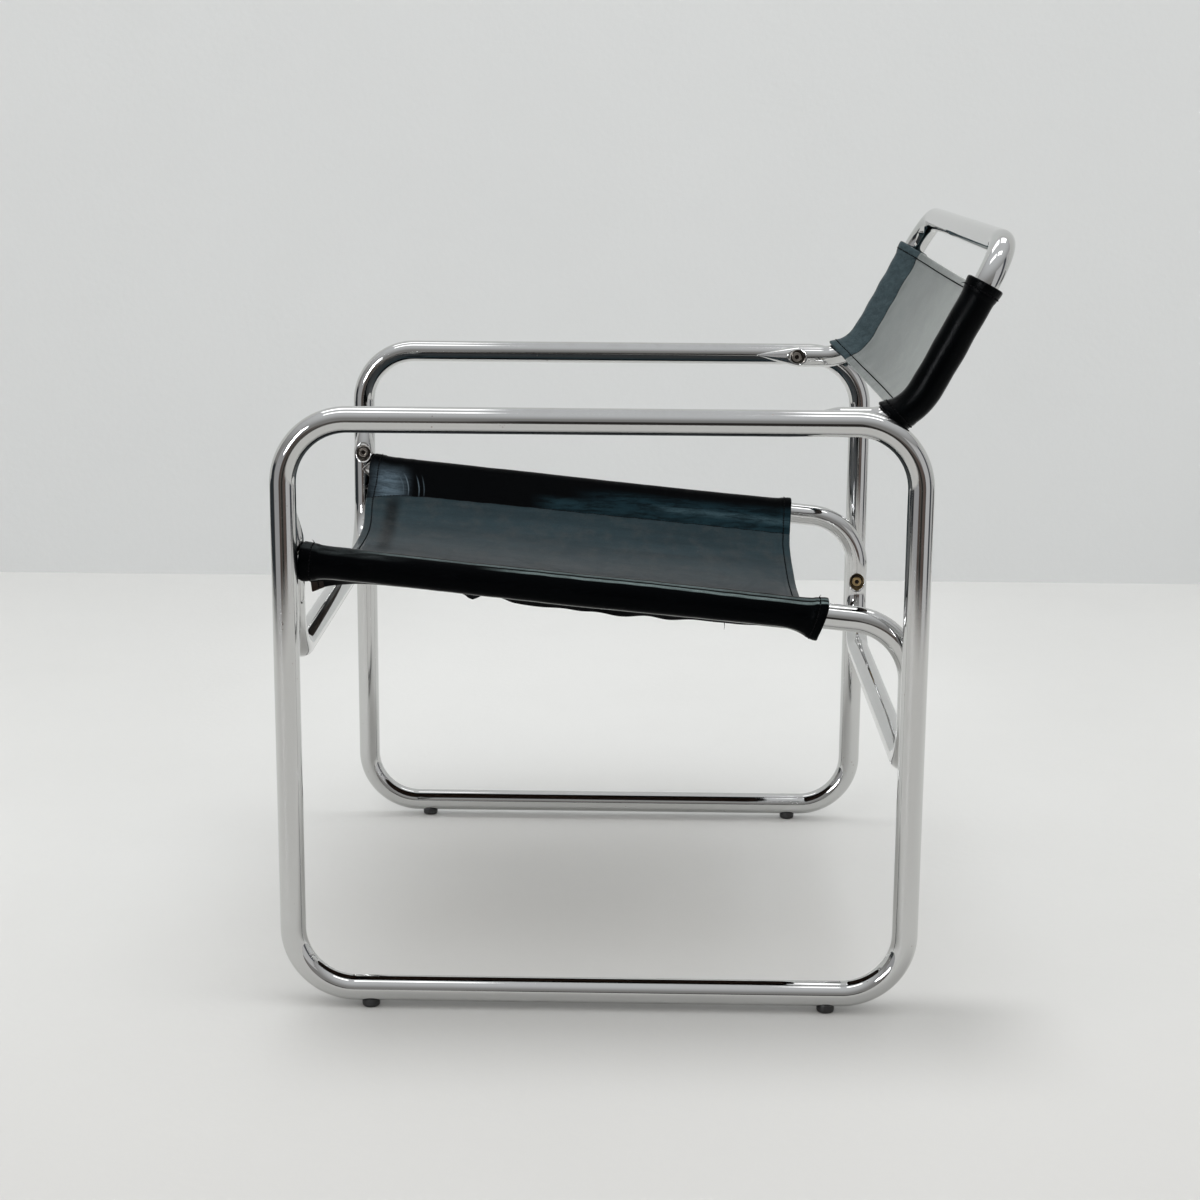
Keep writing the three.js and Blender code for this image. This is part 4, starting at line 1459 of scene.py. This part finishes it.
def resampled(line, at):
    length = np.concatenate([[0], np.cumsum(np.linalg.norm(np.diff(line, axis=0), axis=1))])
    return np.stack([np.interp(at, length, line[:, k]) for k in range(3)], -1)


def line_length(line):
    return float(np.linalg.norm(np.diff(line, axis=0), axis=1).sum())


def stitch_row(name, line, normals, seed, pitch=STITCH_PITCH, strand=THREAD_RADIUS):
    total = line_length(line)
    count = int((total - pitch) / pitch)
    draw = np.random.default_rng(seed)
    starts = (np.arange(count) + 0.5) * pitch + draw.uniform(-0.1, 0.1, count) * pitch
    shares = np.linspace(0, 1, STITCH_RINGS)
    at = starts[:, None] + shares[None, :] * STITCH_LENGTH * pitch / STITCH_PITCH
    flat = at.ravel()
    point = resampled(line, flat)
    length = np.concatenate([[0], np.cumsum(np.linalg.norm(np.diff(line, axis=0), axis=1))])
    normal = np.stack([np.interp(flat, length, normals[:, k]) for k in range(3)], -1)
    normal /= np.linalg.norm(normal, axis=1, keepdims=True)
    ahead = resampled(line, flat + 0.0003) - resampled(line, flat - 0.0003)
    ahead /= np.maximum(np.linalg.norm(ahead, axis=1, keepdims=True), 1e-9)
    sideways = np.cross(ahead, normal)
    rise = np.tile(np.sin(shares * math.pi) ** 0.6, count)
    skew = np.repeat(draw.uniform(-0.2, 0.2, count), len(shares)) * strand
    skew = skew * np.tile(shares - 0.5, count) * 2
    centre = point + normal * (strand * (1.15 * rise - 0.55))[:, None] + sideways * skew[:, None]
    size = strand * (0.55 + 0.45 * rise)
    across, over = around(STITCH_SIDES)
    arms = across * sideways[:, None] + over * normal[:, None]
    rings_all = (centre[:, None] + size[:, None, None] * arms).reshape(count, STITCH_RINGS, STITCH_SIDES, 3)
    one = grid_faces(STITCH_RINGS, STITCH_SIDES, wrap_columns=True)
    per = STITCH_RINGS * STITCH_SIDES
    quads = (one[None] + (np.arange(count) * per)[:, None, None]).reshape(-1, 4)
    caps = []
    centres = []
    base = count * per
    for index in range(count):
        first = index * per
        caps += fan_faces(list(range(first, first + STITCH_SIDES))[::-1], base + 2 * index)
        end = first + per - STITCH_SIDES
        caps += fan_faces(list(range(end, end + STITCH_SIDES)), base + 2 * index + 1)
        centres += [rings_all[index, 0].mean(0), rings_all[index, -1].mean(0)]
    points = np.concatenate([rings_all.reshape(-1, 3), np.array(centres)])
    return new_piece(name, points, quads, THREAD, triangles=caps)


def loose_end(name, start, ways, strand=THREAD_RADIUS * 0.8):
    """A cut end of thread: a thin rod through a few points, tapering to nothing."""
    points = [np.array(start)]
    for step in ways:
        points.append(points[-1] + np.array(step))
    line = np.array(points)
    at = np.linspace(0, line_length(line), END_RINGS)
    spine = resampled(line, at)
    ahead = np.gradient(spine, axis=0)
    ahead /= np.linalg.norm(ahead, axis=1, keepdims=True)
    sideways = np.cross(ahead, [0.3, 0.2, 0.93])
    sideways /= np.linalg.norm(sideways, axis=1, keepdims=True)
    over = np.cross(ahead, sideways)
    size = strand * np.linspace(1, 0.35, END_RINGS)
    a, b = around(STITCH_SIDES)
    grid = spine[:, None] + size[:, None, None] * (a * sideways[:, None] + b * over[:, None])
    return new_rod(name, grid, THREAD)


# %% Stitches on the seat

def rows_near(rows, place):
    return int(np.argmin(np.abs(rows - place))) + RIM


def hem_lines(rows, length, outer, normal):
    found = []
    for place in (HEM_STITCH, length - HEM_STITCH):
        row = rows_near(rows, place)
        found.append((outer[row, RIM:-RIM], normal[row, RIM:-RIM]))
    return found


def sew(prefix, rows, length, outer, normal, seed):
    made = []
    columns = outer.shape[1]
    for word, column in (("left", SEAM_AT + RIM), ("right", columns - 1 - SEAM_AT - RIM)):
        sewn = slice(RIM + 2, -RIM - 2)
        made.append(stitch_row(f"{prefix}_{word}_seam", outer[sewn, column], normal[sewn, column], seed))
        seed += 1
    for word, (line, normals) in zip(("lower", "upper"), hem_lines(rows, length, outer, normal)):
        name = f"{prefix}_{word}_hem_stitches"
        made.append(stitch_row(name, line, normals, seed, strand=HEM_THREAD_RADIUS))
        seed += 1
    return made


seat_threads = sew("seat", seat_rows, seat_length, seat_outer, seat_normal, 61)

# %% Cut ends of thread on the seat


def loose_ends(outer, ends):
    return [loose_end(name, outer[row, column], ways) for name, row, column, *ways in ends]


HANGING_THREAD = 0.410
TOP_OF_LOOP = LOOP_START + RIM + round(0.86 * LOOP_POINTS)
near_hem = rows_near(seat_rows, HEM_STITCH)
rear_hem = rows_near(seat_rows, seat_length - HEM_STITCH)
tag_row = rows_near(seat_rows, HANGING_THREAD)
UP, DOWN = 0.0022, -0.0030
SEAT_ENDS = (
    ("seat_front_thread_end", near_hem, TOP_OF_LOOP, (0, -0.0006, UP), (0, -0.0014, 0.0010)),
    ("seat_rear_thread_end", rear_hem, TOP_OF_LOOP, (0, 0.0004, UP), (0, 0.0012, 0.0004)),
    ("seat_far_thread_end", rear_hem, -TOP_OF_LOOP, (0, -0.0004, UP), (0, -0.0014, 0.0006)),
    ("seat_hanging_thread", tag_row, RIM, (0, 0.0002, DOWN), (0, -0.0004, DOWN * 1.3)),
)
seat_threads += loose_ends(seat_outer, SEAT_ENDS)

# %% [markdown]
# ## The back
#
# The back is the same hide in small. Its sleeves follow the legs of the back frame from halfway
# round the lower bend up to the top bend, so its rows turn with the tube. Leather can't stretch
# round the outside of a bend, and its lower end lags behind, which is why the rows there lean.

# %% Rows along the back frame
BEND_SHARE_KEPT = 0.67
LAG_SHARE = 0.51
TOP_GAP = -0.0032
arm_point = Vector((0, ARM_TIP_Y, ARM_Z))
corner_point = Vector((0, BACK_CORNER_Y, ARM_Z))
top_point = Vector((0, TOP_BAR_Y, TOP_BAR_Z))
leg_way = (top_point - corner_point).normalized()
leg_turn = (corner_point - arm_point).normalized().angle(leg_way)
leg_start = corner_point + leg_way * (ARM_BEND * math.tan(leg_turn / 2))
leg_run = (top_point - leg_start).length - TOP_BEND - TOP_GAP
bend_run = ARM_BEND * leg_turn * BEND_SHARE_KEPT
back_length = bend_run + leg_run
back_rows = row_places(back_length, coarse=0.0028)


def back_places():
    come = (corner_point - arm_point).normalized()
    inward = (leg_way - come * math.cos(leg_turn)).normalized()
    centre = corner_point - come * (ARM_BEND * math.tan(leg_turn / 2)) + inward * ARM_BEND
    point, along, up, lean = [], [], [], []
    for v in back_rows:
        if v < bend_run:
            angle = leg_turn - (bend_run - v) / ARM_BEND
            at = centre - inward * (ARM_BEND * math.cos(angle)) + come * (ARM_BEND * math.sin(angle))
            here = come * math.cos(angle) + inward * math.sin(angle)
            lag = LAG_SHARE * (leg_turn - angle)
        else:
            at, here, lag = leg_start + leg_way * (v - bend_run), leg_way, 0.0
        point.append(list(at))
        along.append(list(here))
        up.append(list(Vector((1, 0, 0)).cross(here)))
        lean.append(-math.tan(lag))
    return np.array(point), np.array(along), np.array(up), np.array(lean)


print(f"back sleeve {back_length * 1000:.0f} mm long, {len(back_rows)} rows")

# %% The back's hide


BACK_SEAMS = {1: (0.044, 0.018), -1: (0.030, 0.0055)}
BACK_FLARE = ((0.0010, 0.010), (0.0016, 0.010))
BACK_SLACK = 0.0004


def back_shape(hand):
    far = int(hand < 0)

    def seam(v):
        inset, drop = BACK_SEAMS[hand]
        return inset + 0 * v, drop + 0 * v

    def flap(v):
        return 0.0105 + 0.0012 * ripple(v, 0 * v, 13 + far, low=60, high=420)

    def droop(v):
        return 0.0012 + 0.0006 * ripple(v, 0 * v, 23 + far, low=40, high=260)

    def flare(front, rear, angle):
        ends = at_ends(front, rear, *BACK_FLARE)
        slack = BACK_SLACK * (1 + ripple(front, angle * 0.014, 33 + far, low=60, high=260))
        return ends + slack * (0.3 + 0.7 * np.sin(angle) ** 2)

    flatness = BACK["flatness"][far]
    return {"seam": seam, "flap": flap, "droop": droop, "flare": flare, "flatness": flatness}


def back_edges(x, *_):
    bow = 0.005 * (1 - (x / (INNER_X + SLEEVE_RADIUS + HIDE)) ** 2)
    return bow, -bow


back_x, back_h = both_halves(BACK, back_rows, back_length, back_shape)
back_grid = in_space(back_x, back_h, back_rows, back_length, back_places(), back_edges)
back_lift = worked(back_grid, back_x, back_h, back_rows, back_length, 71)
back_grid = back_grid + surface_normals(back_grid) * back_lift[..., None]
back_thick = hide_thickness(back_rows, back_length, back_grid.shape[1])
back_hide, back_outer, back_normal = hide_piece(
    "back_leather", back_grid, back_thick, 12, "back_sling", (BACK_SLEEVE, BACK_PANEL)
)
back_threads = sew("back", back_rows, back_length, back_outer, back_normal, 81)
back_lower_hem = rows_near(back_rows, HEM_STITCH)
back_upper_hem = rows_near(back_rows, back_length - HEM_STITCH)
FAR_SEAM = -(SEAM_AT + RIM + 1)
BACK_ENDS = (
    ("back_upper_thread_end", back_upper_hem, FAR_SEAM, (0, -0.002, 0.0004), (0, -0.004, 0.0002)),
    ("back_second_thread_end", back_upper_hem, FAR_SEAM, (0, -0.002, 0.0016), (0, -0.003, 0.0014)),
    ("back_near_thread_end", back_upper_hem, TOP_OF_LOOP, (0, -0.0024, 0.0006), (0, -0.002, -0.001)),
    ("back_lower_thread_end", back_lower_hem, TOP_OF_LOOP, (0, -0.0022, 0.0004), (0, -0.001, -0.002)),
)
back_threads += loose_ends(back_outer, BACK_ENDS)

# %% [markdown]
# ## Floor and wall
#
# The chair stands on a painted floor in front of a plain wall. Both are stage, not part of it.
# The floor's colour is painted darker towards the camera and to the sides as painted shade, and a
# strip in front of the chair is painted darker still as a painted shadow.
# The wall is seen only from the front: its back lets light and view through, so that the chair
# can be looked at from behind as well.

# %% Stage
WALL_X = -1.78
STAGE_HALF = 7.0
FLOOR_COLOUR = (0.758, 0.765, 0.768, 1)
# Painted shade: colours that the floor darkens to towards the camera and to the sides.
FLOOR_NEAR_SHADE = (0.590, 0.590, 0.592, 1)
FLOOR_ASIDE_SHADE = (0.705, 0.711, 0.713, 1)
# A painted shadow in front of the chair: its share, colour, and where it starts, ends and lies across.
PAINTED_SHADOW_SHARE = 0.33
PAINTED_SHADOW_COLOUR = (0.08, 0.08, 0.078, 1)
PAINTED_SHADOW_FROM = (0.25, 0.32)
PAINTED_SHADOW_TO = (0.29, 0.54)
PAINTED_SHADOW_ACROSS = (-0.31, 0.37, 0.08)
WALL_TOP = 3.6
FLOOR_MARK = (0.520, 0.525, 0.520, 1)
WALL_COLOUR = (0.620, 0.636, 0.650, 1)
WALL_MARK = (0.595, 0.610, 0.624, 1)
PAPER_REACH = (1.72, 2.60)


def see_through(tree, shader, share):
    clear = tree.nodes.new("ShaderNodeBsdfTransparent")
    either = tree.nodes.new("ShaderNodeMixShader")
    link(tree, share, either.inputs["Fac"])
    link(tree, shader.outputs["BSDF"], either.inputs[1])
    link(tree, clear.outputs["BSDF"], either.inputs[2])
    link(tree, either.outputs[0], tree.nodes["Material Output"].inputs["Surface"])


def beyond_paper(tree, place):
    """What a reflection sees past the pale floor paper: the darker room."""
    parts = parts_of(tree, place)
    far = sums(tree, "POWER", sums(tree, "MAXIMUM", parts["X"], 0.0), 2.0)
    far = sums(tree, "ADD", far, sums(tree, "POWER", parts["Y"], 2.0))
    past = ramp(tree, sums(tree, "SQRT", far), *PAPER_REACH)
    rays = tree.nodes.new("ShaderNodeLightPath")
    return times(tree, past, rays.outputs["Is Glossy Ray"])


def paint(name, colour, mark, is_wall):
    material, tree, shader, place = new_material(name)
    clouds = ramp(tree, noise(tree, place, 1.3, 5.0, 0.6), 0.35, 0.75)
    specks = ramp(tree, noise(tree, place, 38.0, 6.0, 0.7), 0.62, 0.80)
    marks = sums(tree, "MAXIMUM", times(tree, clouds, 0.5), times(tree, specks, 0.6))
    if not is_wall:
        parts = parts_of(tree, place)
        aside = sums(tree, "ABSOLUTE", parts["Y"])
        # Painted shade: the floor's colour darkens to the sides and towards the camera.
        colour = mixed(tree, ramp(tree, aside, 0.30, 0.75), colour, FLOOR_ASIDE_SHADE)
        colour = mixed(tree, ramp(tree, parts["X"], -0.15, 0.95), colour, FLOOR_NEAR_SHADE)
        # A painted shadow: a darker strip just in front of the chair.
        painted_shadow = times(
            tree,
            ramp(tree, parts["X"], *PAINTED_SHADOW_FROM),
            PAINTED_SHADOW_SHARE,
            ramp(tree, parts["X"], *PAINTED_SHADOW_TO, 1.0, 0.0),
            window(tree, parts["Y"], *PAINTED_SHADOW_ACROSS),
        )
        colour = mixed(tree, painted_shadow, colour, PAINTED_SHADOW_COLOUR)
        marks = times(tree, marks, 0.25)
    link(tree, mixed(tree, marks, colour, mark), shader.inputs["Base Color"])
    set_plain(shader, Roughness=0.6, Specular_IOR_Level=0.25)
    bumped(tree, shader, noise(tree, place, 90.0, 5.0), 0.15, 0.002)
    behind = tree.nodes.new("ShaderNodeNewGeometry").outputs["Backfacing"] if is_wall else None
    see_through(tree, shader, behind or beyond_paper(tree, place))
    return material


def stage_plane(name, corners, material):
    mesh = bpy.data.meshes.new(name)
    mesh.from_pydata(corners, [], [(0, 1, 2, 3)])
    plane = bpy.data.objects.new(name, mesh)
    bpy.context.scene.collection.objects.link(plane)
    mesh.materials.append(material)
    return plane


stage_plane(
    "floor",
    [(WALL_X, -STAGE_HALF, 0), (STAGE_HALF, -STAGE_HALF, 0),
     (STAGE_HALF, STAGE_HALF, 0), (WALL_X, STAGE_HALF, 0)],
    paint("Floor paint", FLOOR_COLOUR, FLOOR_MARK, False),
)
stage_plane(
    "wall",
    [(WALL_X, -STAGE_HALF, 0), (WALL_X, STAGE_HALF, 0),
     (WALL_X, STAGE_HALF, WALL_TOP), (WALL_X, -STAGE_HALF, WALL_TOP)],
    paint("Wall paint", WALL_COLOUR, WALL_MARK, True),
)

# %% [markdown]
# ## The room that the chrome reflects
#
# A mirror shows its room, so the room is what gives the tubes their look. Matt surfaces are lit
# by one plain pale light, and the eye sees a plain grey backdrop past the stage. Reflections see
# the room itself: grey walls under a pale ceiling, a bright slit of daylight, two pairs of narrow
# lights overhead that show as the thin white lines on the
# armrests, a dark floor past the paper, and the uprights of a workroom, which streak the posts.

# %% World
world = bpy.data.worlds.new("Studio")
bpy.context.scene.world = world
world.use_nodes = True
sky = world.node_tree
toward, across_room, above = parts_of(sky, sky.nodes.new("ShaderNodeTexCoord").outputs["Generated"])

PLAIN_LIGHT = (1.19, 1.165, 1.11, 1)
BACKDROP = (0.68, 0.685, 0.68, 1)
room = mixed(sky, ramp(sky, above, 0.22, 0.92), (0.28, 0.275, 0.27, 1), (0.70, 0.715, 0.73, 1))
room = mixed(sky, ramp(sky, above, -0.05, -0.01), (0.10, 0.092, 0.085, 1), room)
heading = sums(sky, "ARCTAN2", across_room, toward)
UPRIGHTS = (
    (-2.55, -1.32, -0.40, 0.12, (0.035, 0.04, 0.045, 1)),
    (-1.22, -0.46, -0.40, 0.30, (0.42, 0.42, 0.43, 1)),
    (-0.40, -0.22, -0.40, 0.08, (0.10, 0.075, 0.065, 1)),
    (-0.07, 0.13, -0.48, 0.10, (0.035, 0.032, 0.03, 1)),
    (0.20, 0.52, -0.34, 0.02, (0.13, 0.10, 0.09, 1)),
    (0.62, 1.26, -0.40, 0.40, (0.62, 0.62, 0.63, 1)),
    (1.34, 1.50, -0.40, 0.45, (0.05, 0.06, 0.08, 1)),
    (1.58, 1.95, -0.40, 0.45, (0.58, 0.58, 0.58, 1)),
    (2.02, 2.22, -0.40, 0.40, (0.12, 0.12, 0.12, 1)),
)
for low, high, bottom, top, colour in UPRIGHTS:
    beside = window(sky, heading, low, high, 0.025)
    upright = times(sky, beside, window(sky, above, bottom, top, 0.04))
    room = mixed(sky, upright, room, colour)
LAMP_LINES = ((1.34, 0.085), (1.99, 0.130))
LAMP_COLOUR = (3.0, 3.02, 3.05, 1)
LAMP_ASIDE = (0.070, 0.45, 0.012)
WINDOW_SLIT = ((-0.69, -0.57), (0.10, 0.42), (30.0, 30.5, 31.5, 1))
lamp = None
height_angle = sums(sky, "ARCTAN2", above, toward)
sideways = sums(sky, "ABSOLUTE", across_room)
for angle, half in LAMP_LINES:
    line = window(sky, height_angle, angle - half, angle + half, 0.03)
    lamp = line if lamp is None else sums(sky, "MAXIMUM", lamp, line)
lamp = times(sky, lamp, window(sky, sideways, *LAMP_ASIDE))
room = mixed(sky, lamp, room, LAMP_COLOUR)
slit = window(sky, heading, *WINDOW_SLIT[0], 0.015)
slit = times(sky, slit, window(sky, above, *WINDOW_SLIT[1], 0.02))
room = mixed(sky, slit, room, WINDOW_SLIT[2])
rays = sky.nodes.new("ShaderNodeLightPath")
light_seen = mixed(sky, rays.outputs["Is Glossy Ray"], PLAIN_LIGHT, room)
light_seen = mixed(sky, rays.outputs["Is Camera Ray"], light_seen, BACKDROP)
link(sky, light_seen, sky.nodes["Background"].inputs["Color"])
sky.nodes["Background"].inputs["Strength"].default_value = 1.0
print("uprights in the room:", len(UPRIGHTS))

# %% A large soft lamp overhead


def soft_lamp(name, place, aim, size, watts):
    light = bpy.data.lights.new(name, "AREA")
    light.shape = "RECTANGLE"
    light.size, light.size_y = size
    light.energy = watts
    light.color = (0.89, 0.955, 1.02)
    lamp_object = bpy.data.objects.new(name, light)
    lamp_object.location = place
    lamp_object.rotation_euler = (Vector(aim) - Vector(place)).to_track_quat("-Z", "Y").to_euler()
    lamp_object.visible_glossy = False
    bpy.context.scene.collection.objects.link(lamp_object)
    return lamp_object


soft_lamp("overhead", (0.3, 0.0, 3.2), (0.0, 0.0, 0.0), (3.0, 3.0), 22.0)

# %% [markdown]
# ## The camera
#
# The photograph was taken from the chair's left side, a little above the armrest, with a long
# lens. The camera's place and angles below were found from the photograph by matching the
# chair's corners.

# %% Camera
CAMERA_PLACE = Vector((2.3704, 0.0016, 0.863))
CAMERA_LENS = 66.6
CAMERA_YAW = math.radians(-1.1)
CAMERA_PITCH = math.radians(12.31)
CAMERA_ROLL = math.radians(0.36)

look = Vector((
    -math.cos(CAMERA_YAW) * math.cos(CAMERA_PITCH),
    math.sin(CAMERA_YAW) * math.cos(CAMERA_PITCH),
    -math.sin(CAMERA_PITCH),
))
right = Vector((math.sin(CAMERA_YAW), math.cos(CAMERA_YAW), 0))
over_head = right.cross(look)
camera_right = right * math.cos(CAMERA_ROLL) + over_head * math.sin(CAMERA_ROLL)
camera_up = over_head * math.cos(CAMERA_ROLL) - right * math.sin(CAMERA_ROLL)
camera_data = bpy.data.cameras.new("camera")
camera_data.lens = CAMERA_LENS
camera_data.sensor_width = 36.0
camera_data.clip_start = 0.05
camera_data.clip_end = 60.0
camera = bpy.data.objects.new("camera", camera_data)
turn_matrix = Matrix((camera_right, camera_up, -look)).transposed()
camera.matrix_world = Matrix.Translation(CAMERA_PLACE) @ turn_matrix.to_4x4()
bpy.context.scene.collection.objects.link(camera)
bpy.context.scene.camera = camera
bpy.context.scene.view_settings.view_transform = "Standard"
